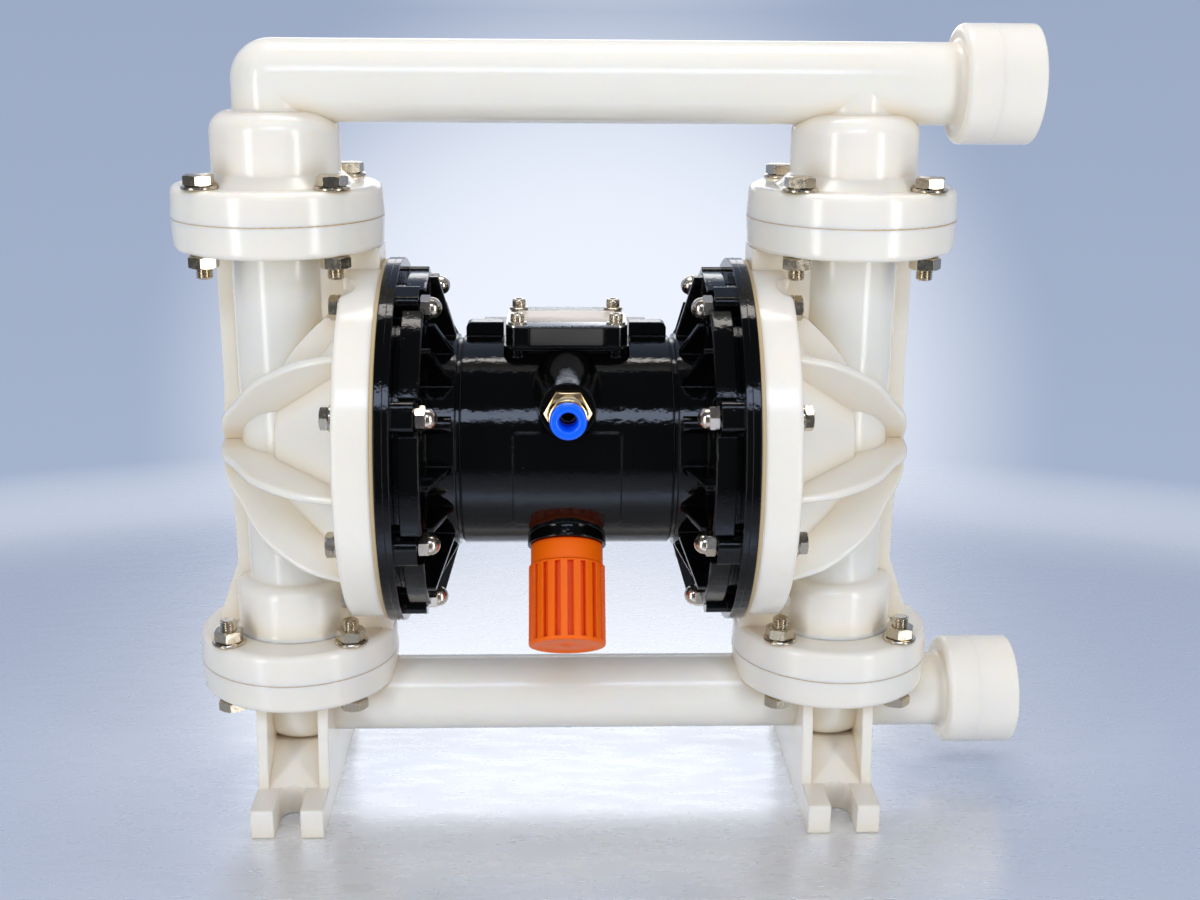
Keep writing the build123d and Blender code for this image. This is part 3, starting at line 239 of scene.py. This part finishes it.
# Shape helpers. Parts are modelled in mm about their own Z axis, then set in place in metres.
def turned(profile, steps=48, closed=False):
    # (radius, z) points spun into a turned part; a closed profile makes a ring
    bm = bmesh.new()
    verts = [bm.verts.new((r, 0, z)) for r, z in profile]
    edges = [bm.edges.new(pair) for pair in zip(verts, verts[1:] + verts[:closed])]
    bmesh.ops.spin(bm, geom=verts + edges, cent=(0, 0, 0), axis=(0, 0, 1), angle=2 * pi,
                   steps=steps, use_merge=True)
    bmesh.ops.remove_doubles(bm, verts=bm.verts, dist=0.001)
    bmesh.ops.recalc_face_normals(bm, faces=bm.faces)
    return bm


def cutFlat(bm, point, normal, fill=True):
    # saws off what lies beyond a plane, and closes the cut if asked
    cut = bmesh.ops.bisect_plane(bm, geom=bm.verts[:] + bm.edges[:] + bm.faces[:], dist=0.0001,
                                 plane_co=point, plane_no=normal, clear_outer=True)
    edges = [e for e in cut["geom_cut"] if isinstance(e, bmesh.types.BMEdge)]
    if fill:
        bmesh.ops.edgeloop_fill(bm, edges=edges)


def hexagonal(flats, height, face=0.47, back=0.47, bore=0.0):
    # blank turned with a chamfer of some 27 degrees at each end, then six flats milled on it
    corner = flats / sqrt(3) + 0.1
    faceDrop, backDrop = (corner - flats * face) * 0.5, (corner - flats * back) * 0.5
    bm = turned([(bore, 0), (flats * back, 0), (corner, backDrop), (corner, height - faceDrop),
                 (flats * face, height), (bore, height)], 60, closed=bore > 0)
    for k in range(6):
        normal = Vector((cos(k * pi / 3), sin(k * pi / 3), 0))
        cutFlat(bm, normal * flats / 2, normal)
    return bm


def screwThread(radius, length, pitch, steps=20, fill=True):
    # one V swept up its helix, then sawn square at both ends
    bm = bmesh.new()
    turns = int(length / pitch) + 2
    points = ((radius, -pitch), (radius - pitch * 0.5, -pitch / 2), (radius, 0))
    verts = [bm.verts.new((r, 0, z)) for r, z in points]
    edges = [bm.edges.new(pair) for pair in zip(verts, verts[1:])]
    bmesh.ops.spin(bm, geom=verts + edges, cent=(0, 0, 0), axis=(0, 0, 1), angle=2 * pi * turns,
                   dvec=(0, 0, pitch / steps), steps=steps * turns)
    bmesh.ops.remove_doubles(bm, verts=bm.verts, dist=0.005)
    cutFlat(bm, (0, 0, 0), (0, 0, -1), fill)
    cutFlat(bm, (0, 0, length), (0, 0, 1), fill)
    bmesh.ops.recalc_face_normals(bm, faces=bm.faces)
    return bm


def roundedSheet(halfX, halfY, thick, corner, edge):
    # flat sheet with round corners and a softened upper rim
    bm = bmesh.new()
    bmesh.ops.create_grid(bm, x_segments=1, y_segments=1, size=1.0)
    bmesh.ops.scale(bm, vec=(halfX, halfY, 1), verts=bm.verts)
    bmesh.ops.bevel(bm, geom=bm.verts[:], offset=corner, affect="VERTICES", segments=8, profile=0.5,
                    material=-1)
    top = bmesh.ops.extrude_face_region(bm, geom=bm.faces[:])["geom"]
    bmesh.ops.translate(bm, vec=(0, 0, thick),
                        verts=[v for v in top if isinstance(v, bmesh.types.BMVert)])
    rim = [e for e in bm.edges if all(v.co.z > thick / 2 for v in e.verts)]
    bmesh.ops.bevel(bm, geom=rim, offset=edge, affect="EDGES", segments=2, profile=0.5, material=-1)
    bmesh.ops.recalc_face_normals(bm, faces=bm.faces)
    return bm


def placeAt(x, y, z):
    return Matrix.Translation((x * mm, y * mm, z * mm)) @ Matrix.Scale(mm, 4)


def finishPiece(name, copies, finish, body, replaced=(), sharpAngle=32):
    # copies holds (part, places) pairs: each part is set at each of its places, in one mesh
    bm = bmesh.new()
    for part, places in copies:
        mesh = bpy.data.meshes.new("part")
        part.to_mesh(mesh)
        part.free()
        for place in places:
            start = len(bm.verts)
            bm.from_mesh(mesh)
            bm.verts.ensure_lookup_table()
            bmesh.ops.transform(bm, matrix=place, verts=bm.verts[start:])
        bpy.data.meshes.remove(mesh)
    bmesh.ops.recalc_face_normals(bm, faces=bm.faces)
    for face in bm.faces:
        face.smooth = True
    mesh = bpy.data.meshes.new(name)
    bm.to_mesh(mesh)
    bm.free()
    mesh.materials.append(finishes[finish])
    mesh.set_sharp_from_angle(angle=radians(sharpAngle))
    obj = bpy.data.objects.new(name, mesh)
    bpy.context.collection.objects.link(obj)
    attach(obj, body)
    if replaced:
        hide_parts(*replaced)


# Bolts, nuts and washers of the column flanges
def flangeFasteners():
    size = {"circle": 53.5, "flange": 19.0, "flats": 16.0, "head": 6.4, "nut": 7.2, "washer": 10.4,
            "washerThick": 2.0, "shank": 5.0, "spare": 5.8, "pitch": 1.5, "turnEach": 17}
    reach = size["circle"] / sqrt(2)
    spots = [(side * columnX + dx * reach, dy * reach) for side in (-1, 1)
             for dx in (-1, 1) for dy in (-1, 1)]
    bore, rim, thick = size["shank"] + 0.1, size["washer"], size["washerThick"]
    for name, seam, headUp in (("discharge", seamZ, True), ("suction", -seamZ, False)):
        upper, lower = [], []
        for index, (x, y) in enumerate(spots):
            turn = Matrix.Rotation(radians(size["turnEach"] * index), 4, "Z")
            low = placeAt(x, y, shaftHeight + seam - size["flange"])
            upper.append(placeAt(x, y, shaftHeight + seam + size["flange"]) @ turn)
            lower.append(low @ Matrix.Rotation(pi, 4, "X") @ turn)
        onWasher = [place @ Matrix.Translation((0, 0, thick)) for place in upper]
        heads, nuts = (onWasher, lower) if headUp else (lower, onWasher)
        thread = screwThread(size["shank"], size["nut"] + size["spare"], size["pitch"])
        point = turned([(0, 0), (size["shank"] - 0.8, 0), (size["shank"] - 1.3, 0.6), (0, 0.6)], 20)
        tips = [place @ Matrix.Translation((0, 0, size["nut"] + size["spare"] - 0.05))
                for place in nuts]
        washer = turned([(bore, 0), (rim - 0.3, 0), (rim, 0.4), (rim, thick - 0.7),
                         (rim - 0.5, thick), (bore, thick)], 40, closed=True)
        head = hexagonal(size["flats"], size["head"])
        finishPiece(name + "BoltHeads", [(head, heads), (thread, nuts), (point, tips)],
                    "steel", "housing", [name + "_flange_bolts"])
        finishPiece(name + "Nuts", [(hexagonal(size["flats"], size["nut"], bore=bore), nuts)],
                    "steel", "housing", [name + "_flange_nuts"])
        finishPiece(name + "Washers", [(washer, upper)], "steel", "housing",
                    [name + "_flange_washers"])


# Clamp bolts, their washers and the domed cap nuts round the two clamp rings
def clampFasteners():
    size = {"circle": 98.0, "face": 132.0, "washer": 8.0, "washerThick": 1.6, "flats": 13.0,
            "head": 5.3, "lug": 86.0, "nut": 6.6, "dome": 6.2, "shank": 4.0, "count": 8,
            "turnEach": 23}
    bore, rim, thick = size["shank"] + 0.1, size["washer"], size["washerThick"]
    faces, ends = [], []
    for side in (-1, 1):
        for k in range(size["count"]):
            angle = radians((k + 0.5) * 360 / size["count"])
            spin = Matrix.Rotation(radians(size["turnEach"] * k), 4, "Z")
            base = Matrix.Translation((0, 0, shaftHeight * mm)) @ Matrix.Rotation(angle, 4, "X")
            faces.append(base @ placeAt(side * size["face"], 0, size["circle"])
                         @ Matrix.Rotation(side * pi / 2, 4, "Y") @ spin)
            ends.append(base @ placeAt(side * size["lug"], 0, size["circle"])
                        @ Matrix.Rotation(-side * pi / 2, 4, "Y") @ spin)
    washer = turned([(bore, 0), (rim - 0.2, 0), (rim, 0.3), (rim, thick - 0.5), (rim - 0.4, thick),
                     (bore, thick)], 40, closed=True)
    dome = turned([(0, 1.0), (size["dome"], 1.0)]
                  + [(size["dome"] * cos(radians(a)), size["nut"] + size["dome"] * sin(radians(a)))
                     for a in range(0, 90, 9)] + [(0, size["nut"] + size["dome"])], 40)
    onWasher = [place @ Matrix.Translation((0, 0, thick)) for place in faces]
    finishPiece("clampBoltHeads", [(hexagonal(size["flats"], size["head"], 0.46), onWasher)],
                "steel", "housing", ["clamp_bolts"])
    finishPiece("clampWashers", [(washer, faces)], "steel", "housing",
                ["clamp_washers"])
    nut = hexagonal(size["flats"], size["nut"], 0.44, 0.45)
    finishPiece("capNuts", [(nut, ends), (dome, ends)], "nickel", "housing",
                ["clamp_cap_nuts"])


# Socket screws of the cover block, with knurled heads
def coverScrews():
    size = {"x": 29.5, "y": 23.5, "midY": 1.0, "washer": 5.8, "washerThick": 1.4, "head": 3.9,
            "headHeight": 5.0, "socket": 4.0, "deep": 2.4, "knurls": 26, "tooth": 0.22}
    head, high, knurls = size["head"], size["headHeight"], size["knurls"]
    bm = turned([(0, 0), (head, 0), (head, 0.4), (head, high - 0.8), (head - 0.5, high),
                 (2.7, high)], 2 * knurls)
    teeth = [face for face in bm.faces if abs(face.normal.z) < 0.1 and face.calc_area() > 0.5
             and int((atan2(face.calc_center_median().y, face.calc_center_median().x) + pi)
                     / (2 * pi) * 2 * knurls) % 2]
    for face in bmesh.ops.extrude_discrete_faces(bm, faces=teeth)["faces"]:
        bmesh.ops.translate(bm, vec=face.normal * size["tooth"], verts=face.verts[:])
    rim = [edge for edge in bm.edges
           if edge.is_boundary and all(v.co.z > high - 0.1 for v in edge.verts)]
    corners = bmesh.ops.create_circle(bm, segments=6, radius=size["socket"] / sqrt(3),
                                      matrix=Matrix.Translation((0, 0, high)))["verts"]
    sides = list({edge for corner in corners for edge in corner.link_edges})
    bmesh.ops.bridge_loops(bm, edges=rim + sides)
    walls = bmesh.ops.extrude_edge_only(bm, edges=sides)["geom"]
    bmesh.ops.translate(bm, vec=(0, 0, -size["deep"]),
                        verts=[v for v in walls if isinstance(v, bmesh.types.BMVert)])
    bmesh.ops.edgeloop_fill(bm, edges=[e for e in walls if isinstance(e, bmesh.types.BMEdge)
                                       and all(v.co.z < high - 1 for v in e.verts)])
    disc, thick = size["washer"], size["washerThick"]
    washer = turned([(1, 0), (disc - 0.2, 0), (disc, 0.3), (disc, 1.0), (disc - 0.5, thick),
                     (1, thick)], 40, closed=True)
    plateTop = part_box("cover_plate")[1][2] / mm
    spots = [(x, size["midY"] + y) for x in (-size["x"], size["x"])
             for y in (-size["y"], size["y"])]
    seats = [placeAt(x, y, plateTop) for x, y in spots]
    raised = [placeAt(x, y, plateTop + thick) for x, y in spots]
    finishPiece("coverScrewHeads", [(washer, seats), (bm, raised)], "steel", "housing",
                ["cover_screws"], 40)


# Bright sheet on the cover block, with a blank satin field, and dull panels in the block's sides
def coverSheet():
    size = {"halfX": 36.5, "halfY": 30.0, "midY": 1.0, "corner": 7.0, "thick": 1.2, "bevel": 0.35,
            "fieldX": 30.0, "fieldY": 17.0, "fieldThick": 0.15, "panelX": 22.2, "panelInset": 1.6}
    low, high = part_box("cover_plate")[0][2] / mm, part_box("cover_plate")[1][2] / mm
    sheet = roundedSheet(size["halfX"], size["halfY"], size["thick"], size["corner"], size["bevel"])
    finishPiece("brightCoverSheet", [(sheet, [placeAt(0, size["midY"], low)])], "aluminium",
                "housing", ["cover_plate"])
    field = roundedSheet(size["fieldX"], size["fieldY"], size["fieldThick"], 1.0, 0.05)
    finishPiece("blankField", [(field, [placeAt(0, size["midY"], high)])], "field", "housing")
    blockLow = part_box("pilot_cover")[0][2] / mm
    panelHeight = low - blockLow - 2.6
    panel = roundedSheet(size["panelX"], panelHeight / 2, 0.2, 0.6, 0.05)
    panelY, panelZ = size["halfY"] - size["panelInset"], low - 0.3 - panelHeight / 2
    places = [placeAt(0, size["midY"] + way * panelY, panelZ)
              @ Matrix.Rotation(-way * pi / 2, 4, "X") for way in (-1, 1)]
    finishPiece("sidePanels", [(panel, places)], "dullGrey", "housing")


# Silencer: plain band, round-edged flutes that stop short of the bottom lip, flat bottom with a pip
def muffler():
    size = {"reach": 69.5, "band": 22.0, "bandLength": 13.5, "ribs": 23.2, "length": 62.5,
            "flutes": 18, "depth": 2.9, "lip": 2.2, "tilt": 35.0, "perFlute": 8, "cut": 4}
    band, end, split, ribs = size["band"], size["length"], size["bandLength"], size["ribs"]
    steps = size["flutes"] * size["perFlute"]
    bm = turned([(0, 0), (band - 1, 0), (band - 0.3, 0.3), (band, 1.2), (band, split - 0.6),
                 (ribs - 0.3, split), (ribs, split + 0.4), (ribs, split + 0.8),
                 (ribs, end - size["lip"]), (ribs, end - 1.2), (ribs - 0.35, end - 0.35),
                 (ribs - 1.2, end), (ribs - 4.5, end), (ribs - 5, end - 0.4), (2.4, end - 0.4),
                 (1.8, end + 0.2), (0, end + 0.2)], steps)
    flutes = []
    for face in bm.faces:
        middle = face.calc_center_median()
        column = int((atan2(middle.y, middle.x) + pi) / (2 * pi) * steps) % size["perFlute"]
        if split + 0.9 < middle.z < end - size["lip"] and column < size["cut"]:
            flutes.append(face)
    bmesh.ops.inset_region(bm, faces=flutes, thickness=0.3, depth=-0.35, use_even_offset=True)
    bmesh.ops.inset_region(bm, faces=flutes, thickness=0.15, depth=0.35 - size["depth"],
                           use_even_offset=True)
    place = placeAt(0, 0, shaftHeight) @ Matrix.Rotation(radians(180 - size["tilt"]), 4, "X")
    place = place @ Matrix.Translation((0, 0, size["reach"]))
    finishPiece("flutedSilencer", [(bm, [place])], "orange", "housing",
                ["muffler_body"], 50)


# Push-in fitting and its release ring, along the inlet boss
def airFitting():
    size = {"z": 275.0, "boss": 90.0, "flats": 24.0, "hex": 8.0, "barrel": 11.2,
            "barrelLength": 11.0, "bore": 7.2, "stop": 5.0, "duct": 4.0, "ring": 10.4,
            "ringLow": 20.8, "ringThick": 5.0, "tube": 5.2, "sleeve": 11.0}
    forward = Matrix.Rotation(pi / 2, 4, "X") @ Matrix.Rotation(pi / 6, 4, "Z")
    place = placeAt(0, 0, size["z"]) @ forward @ Matrix.Translation((0, 0, size["boss"]))
    low, end, barrel = size["hex"], size["hex"] + size["barrelLength"], size["barrel"]
    duct, bore = size["duct"], size["bore"]
    sleeve = turned([(duct, low - 1), (barrel - 0.9, low - 1), (barrel - 0.9, low + 1.2),
                     (barrel, low + 1.8), (barrel, end - 1.6), (barrel - 0.5, end - 0.5),
                     (barrel - 1.5, end), (bore + 0.4, end), (bore, end - 0.4),
                     (bore, size["stop"]), (duct, size["stop"] - 0.5)], 64, closed=True)
    nut = hexagonal(size["flats"], size["hex"], 0.45, 0.49, duct)
    finishPiece("pushInFitting", [(nut, [place]), (sleeve, [place])],
                "brass", "housing", ["air_inlet_fitting"])
    low, high = size["ringLow"], size["ringLow"] + size["ringThick"]
    tube, bore, ring = size["tube"], bore - 0.06, size["ring"]
    collet = turned([(tube, low - size["sleeve"]), (bore, low - size["sleeve"]), (bore, low),
                     (ring - 0.6, low), (ring, low + 0.6), (ring, high - 1.4),
                     (ring - 0.45, high - 0.4), (ring - 1.4, high), (tube + 1.7, high),
                     (tube + 0.5, high - 0.5), (tube, high - 1.6)], 72, closed=True)
    finishPiece("blueReleaseRing", [(collet, [place])], "blue", "release_collet",
                ["release_collet"], 45)


# Pipe threads in the two ports, and the mould ridge round each boss
def portDetail():
    size = {"ports": ((275.0, 451.0), (292.0, 60.0)), "minor": 22.35, "pitch": 2.3,
            "threadLength": 24.0, "boss": 35.0, "ridgeIn": 25.0}
    places = [placeAt(x, 0, z) @ Matrix.Rotation(-pi / 2, 4, "Y") for x, z in size["ports"]]
    thread = screwThread(size["minor"], size["threadLength"], size["pitch"], 72, fill=False)
    bmesh.ops.reverse_faces(thread, faces=thread.faces)
    inside = [place @ Matrix.Translation((0, 0, 1.0)) for place in places]
    finishPiece("portThreads", [(thread, inside)], "polypropylene", "housing")
    r, at = size["boss"], size["ridgeIn"]
    ridge = turned([(r - 0.3, at - 0.7), (r + 0.12, at - 0.35), (r + 0.12, at + 0.35),
                    (r - 0.3, at + 0.7)], 96, closed=True)
    finishPiece("mouldRidges", [(ridge, places)], "ridge", "housing")


# Skin of each column and its lower bell. It covers the nicks that the bolt recesses leave there.
def columnSkins():
    size = {"tube": 29.5, "bell": 38.0, "foot": -121.0, "top": 121.0, "shoulder": -88.5,
            "rise": 2.0, "bellRound": 8.5, "shoulderRoot": 2.0, "flangeRoot": 3.0, "skin": 0.15,
            "inside": 27.0}
    bell, tube, skin = size["bell"], size["tube"], size["skin"]
    big, root = size["bellRound"], size["flangeRoot"]
    sweep = pi / 2 - atan2(size["rise"], bell - tube)

    def bend(r, z, radius, start, end, steps=8):
        angles = [start + (end - start) * i / steps for i in range(steps + 1)]
        return [(r + radius * cos(a), z + radius * sin(a)) for a in angles]

    foot = bend(bell + root, size["foot"] + root, root - skin, 1.5 * pi, pi)
    dome = bend(bell - big, size["shoulder"] - big * tan(sweep / 2), big + skin, 0, sweep)
    small = size["shoulderRoot"]
    neckZ = size["shoulder"] + size["rise"] + small * tan(sweep / 2)
    neck = bend(tube + small, neckZ, small - skin, pi + sweep, pi)
    top = bend(tube + root, size["top"] - root, root - skin, pi, pi / 2)
    profile = [(size["inside"], size["foot"]), (bell + root, size["foot"]), *foot, *dome, *neck,
               *top, (tube + root, size["top"]), (size["inside"], size["top"])]
    places = [placeAt(side * columnX, 0, shaftHeight) for side in (-1, 1)]
    finishPiece("columnSkins", [(turned(profile, 96, closed=True), places)], "polypropylene",
                "housing", sharpAngle=50)


# Painted shade: a tan ring in each flange joint stands for the shaded gap there; and the machined
# line round each black rim
def seamEdges():
    size = {"flange": 62.85, "rim": 113.0, "rimAt": 103.0}
    flange, rim = size["flange"], size["rim"]
    # painted shade: a thin tan ring laid in the gap of each flange joint
    seam = turned([(flange - 1, -0.4), (flange, -0.4), (flange, 0.4), (flange - 1, 0.4)], 96,
                  closed=True)
    joints = [placeAt(side * columnX, 0, shaftHeight + way * seamZ) for side in (-1, 1)
              for way in (-1, 1)]
    finishPiece("flangeSeamShade", [(seam, joints)], "seam", "housing")
    line = turned([(rim - 0.3, -0.35), (rim + 0.1, -0.25), (rim + 0.18, 0), (rim + 0.1, 0.25),
                   (rim - 0.3, 0.35)], 128, closed=True)
    rims = [placeAt(side * size["rimAt"], 0, shaftHeight) @ Matrix.Rotation(pi / 2, 4, "Y")
            for side in (-1, 1)]
    finishPiece("rimRidges", [(line, rims)], "enamel", "housing")


flangeFasteners()
clampFasteners()
coverScrews()
coverSheet()
muffler()
airFitting()
portDetail()
columnSkins()
seamEdges()
print("stage: detail pieces made")


# Pale floor with a painted pool of light under the pump, fading out into the backdrop at its rim
def paleFloor():
    look = {"floor": "#D3DCEE", "paintedLightPool": "#F4F7FC", "rough": 0.27, "shine": 0.45, "halfSize": 2.5,
            "grainMm": 9, "paintedPoolFalloff": (0.1, 0.5), "fade": (0.42, 0.8)}
    bm = bmesh.new()
    bmesh.ops.create_grid(bm, x_segments=1, y_segments=1, size=look["halfSize"])
    mesh = bpy.data.meshes.new("floor")
    bm.to_mesh(mesh)
    bm.free()
    floor = bpy.data.objects.new("floor", mesh)
    bpy.context.collection.objects.link(floor)
    mat, tree, bsdf = newMaterial("paleFloor")
    coords = addNode(tree, "ShaderNodeTexCoord")
    streak = addNode(tree, "ShaderNodeMapping", {"Scale": (0.25, 1.0, 1.0)},
                     {"Vector": coords.outputs["Object"]})
    grain = addNode(tree, "ShaderNodeTexNoise",
                    {"Scale": 1 / (look["grainMm"] * mm), "Detail": 4.0},
                    {"Vector": streak.outputs["Vector"]})
    rough = addNode(tree, "ShaderNodeMapRange", {"To Min": look["rough"] - 0.08,
                                                 "To Max": look["rough"] + 0.1},
                    {"Value": grain.outputs["Fac"]})
    tree.links.new(rough.outputs["Result"], bsdf.inputs["Roughness"])
    bump = bumpOver(tree, grain.outputs["Fac"], None, 0.05, 0.1)
    tree.links.new(bump.outputs["Normal"], bsdf.inputs["Normal"])
    setBsdf(bsdf, Metallic=look["shine"])
    # painted light: the floor is near white in a pool under the pump, going over to its plain tone
    # further out
    centred = addNode(tree, "ShaderNodeMapping", {"Location": (0.0, -0.04, 0.0),
                                                  "Scale": (1.0, 0.7, 1.0)},
                      {"Vector": coords.outputs["Object"]})
    away = addNode(tree, "ShaderNodeVectorMath", links={0: centred.outputs["Vector"]},
                   operation="LENGTH")
    paintedPoolFalloff = addNode(tree, "ShaderNodeMapRange", {"From Min": look["paintedPoolFalloff"][0],
                                                 "From Max": look["paintedPoolFalloff"][1]},
                    {"Value": away.outputs["Value"]}, interpolation_type="SMOOTHSTEP")
    tone = addNode(tree, "ShaderNodeMix", {6: linearColor(look["paintedLightPool"]),
                                           7: linearColor(look["floor"])},
                   {0: paintedPoolFalloff.outputs["Result"]}, data_type="RGBA")
    tree.links.new(tone.outputs[2], bsdf.inputs["Base Color"])
    squeezed = addNode(tree, "ShaderNodeMapping", {"Scale": (0.55, 1.0, 1.0)},
                       {"Vector": coords.outputs["Object"]})
    reach = addNode(tree, "ShaderNodeVectorMath", links={0: squeezed.outputs["Vector"]},
                    operation="LENGTH")
    fade = addNode(tree, "ShaderNodeMapRange", {"From Min": look["fade"][0],
                                                "From Max": look["fade"][1]},
                   {"Value": reach.outputs["Value"]}, interpolation_type="SMOOTHSTEP")
    clear = addNode(tree, "ShaderNodeBsdfTransparent")
    mix = addNode(tree, "ShaderNodeMixShader", links={0: fade.outputs["Result"], 1: bsdf.outputs[0],
                                                      2: clear.outputs[0]})
    tree.links.new(mix.outputs[0], tree.nodes["Material Output"].inputs["Surface"])
    mesh.materials.append(mat)


# Backdrop that the camera and mirrored rays see, and a soft fill that lights the rest
def studioWorld():
    look = {"far": "#B6C2DA", "band": "#EAF1FC", "sky": "#A5B3CD", "top": "#9AA8C3",
            "glow": "#EDF3FF", "fill": "#F3F2F0", "fillStrength": 0.4, "room": "#4A4E56",
            "glowTowards": (0.03, 0.95, 0.25), "glowDegrees": (17.5, 5)}
    world = bpy.data.worlds.new("studio")
    bpy.context.scene.world = world
    world.use_nodes = True
    tree = world.node_tree
    coords = addNode(tree, "ShaderNodeTexCoord")
    parts = addNode(tree, "ShaderNodeSeparateXYZ", links={"Vector": coords.outputs["Generated"]})
    height = addNode(tree, "ShaderNodeMapRange", {"From Min": -0.5, "From Max": 0.1},
                     {"Value": parts.outputs["Z"]})
    ramp = addNode(tree, "ShaderNodeValToRGB", links={"Fac": height.outputs["Result"]})
    rampColors(ramp, [(0.0, linearColor(look["far"])), (0.24, linearColor(look["far"])),
                      (0.31, linearColor(look["band"])), (0.37, linearColor(look["sky"])),
                      (1.0, linearColor(look["top"]))])
    # the lit patch is below the horizon for the camera, and above it for the floor's mirror
    lifted = addNode(tree, "ShaderNodeMath", links={0: parts.outputs["Z"]}, operation="ABSOLUTE")
    folded = addNode(tree, "ShaderNodeCombineXYZ", links={"X": parts.outputs["X"],
                                                          "Y": parts.outputs["Y"],
                                                          "Z": lifted.outputs[0]})
    aim = addNode(tree, "ShaderNodeVectorMath", {1: Vector(look["glowTowards"]).normalized()},
                  {0: folded.outputs["Vector"]}, operation="DOT_PRODUCT")
    wide, core = (cos(radians(angle)) for angle in look["glowDegrees"])
    glow = addNode(tree, "ShaderNodeMapRange", {"From Min": wide, "From Max": core},
                   {"Value": aim.outputs["Value"]}, interpolation_type="SMOOTHSTEP")
    backdrop = addNode(tree, "ShaderNodeMix", {7: linearColor(look["glow"])},
                       {0: glow.outputs["Result"], 6: ramp.outputs["Color"]}, data_type="RGBA")
    # mirrored rays that leave towards the front meet the dark room behind the camera
    behind = addNode(tree, "ShaderNodeMapRange", {"From Min": 0.0, "From Max": 0.5},
                     {"Value": parts.outputs["Y"]}, interpolation_type="SMOOTHSTEP")
    mirrored = addNode(tree, "ShaderNodeMix", {6: linearColor(look["room"])},
                       {0: behind.outputs["Result"], 7: backdrop.outputs[2]}, data_type="RGBA")
    fill = tree.nodes["Background"]
    fill.inputs["Color"].default_value = linearColor(look["fill"])
    fill.inputs["Strength"].default_value = look["fillStrength"]
    rays = addNode(tree, "ShaderNodeLightPath")
    shine = addNode(tree, "ShaderNodeBackground", links={"Color": mirrored.outputs[2]})
    seen = addNode(tree, "ShaderNodeBackground", links={"Color": backdrop.outputs[2]})
    glossy = addNode(tree, "ShaderNodeMixShader", links={0: rays.outputs["Is Glossy Ray"],
                                                         1: fill.outputs[0], 2: shine.outputs[0]})
    either = addNode(tree, "ShaderNodeMath", links={0: rays.outputs["Is Camera Ray"],
                                                    1: rays.outputs["Is Transmission Ray"]},
                     operation="MAXIMUM")
    mix = addNode(tree, "ShaderNodeMixShader", links={0: either.outputs[0], 1: glossy.outputs[0],
                                                      2: seen.outputs[0]})
    tree.links.new(mix.outputs[0], tree.nodes["World Output"].inputs["Surface"])


# Lamps: a strip overhead, one in front for the band on the body, two tall ones and a low rear one
def softbox(name, place, target, size, watts, color="#FFFFFF"):
    data = bpy.data.lights.new(name, "AREA")
    data.shape = "RECTANGLE"
    data.size, data.size_y = size
    data.energy = watts
    data.color = linearColor(color)[:3]
    lamp = bpy.data.objects.new(name, data)
    lamp.location = place
    lamp.rotation_euler = (Vector(target) - Vector(place)).to_track_quat("-Z", "Y").to_euler()
    bpy.context.collection.objects.link(lamp)


# Camera where the photo's was, from the fit to its edges: metres and degrees
def cameraAtPhoto():
    view = {"focalPx": 1496.7, "widthPx": 1200, "sensorMm": 36.0,
            "place": (-0.0089, -0.9048, 0.4909), "pitch": 16.34, "yaw": 1.91, "roll": 0.44}
    data = bpy.data.cameras.new("camera")
    data.sensor_width = view["sensorMm"]
    data.lens = view["focalPx"] / view["widthPx"] * view["sensorMm"]
    camera = bpy.data.objects.new("camera", data)
    yaw = Matrix.Rotation(radians(-view["yaw"]), 4, "Z")
    pitch = Matrix.Rotation(radians(90 - view["pitch"]), 4, "X")
    roll = Matrix.Rotation(radians(view["roll"]), 4, "Z")
    camera.matrix_world = Matrix.Translation(view["place"]) @ yaw @ pitch @ roll
    bpy.context.collection.objects.link(camera)
    bpy.context.scene.camera = camera


paleFloor()
studioWorld()
softbox("topStrip", (0.0, 0.28, 1.5), (0, -0.02, 0.28), (0.75, 0.4), 8.2, "#FFF9F2")
softbox("frontStrip", (0.0, -1.3, 1.32), (0, -0.05, 0.26), (1.0, 0.32), 7, "#C9D7F4")
softbox("leftTall", (-1.05, -1.15, 0.38), (0, 0, 0.2), (0.28, 1.5), 8.7)
softbox("rightTall", (1.05, -1.15, 0.38), (0, 0, 0.2), (0.28, 1.5), 8.7)
softbox("rearLow", (0.0, 1.25, 0.66), (0, 0, 0.2), (1.0, 0.3), 1.5)
cameraAtPhoto()
bpy.context.scene.view_settings.view_transform = "Standard"
print("stage: floor, light and camera placed")
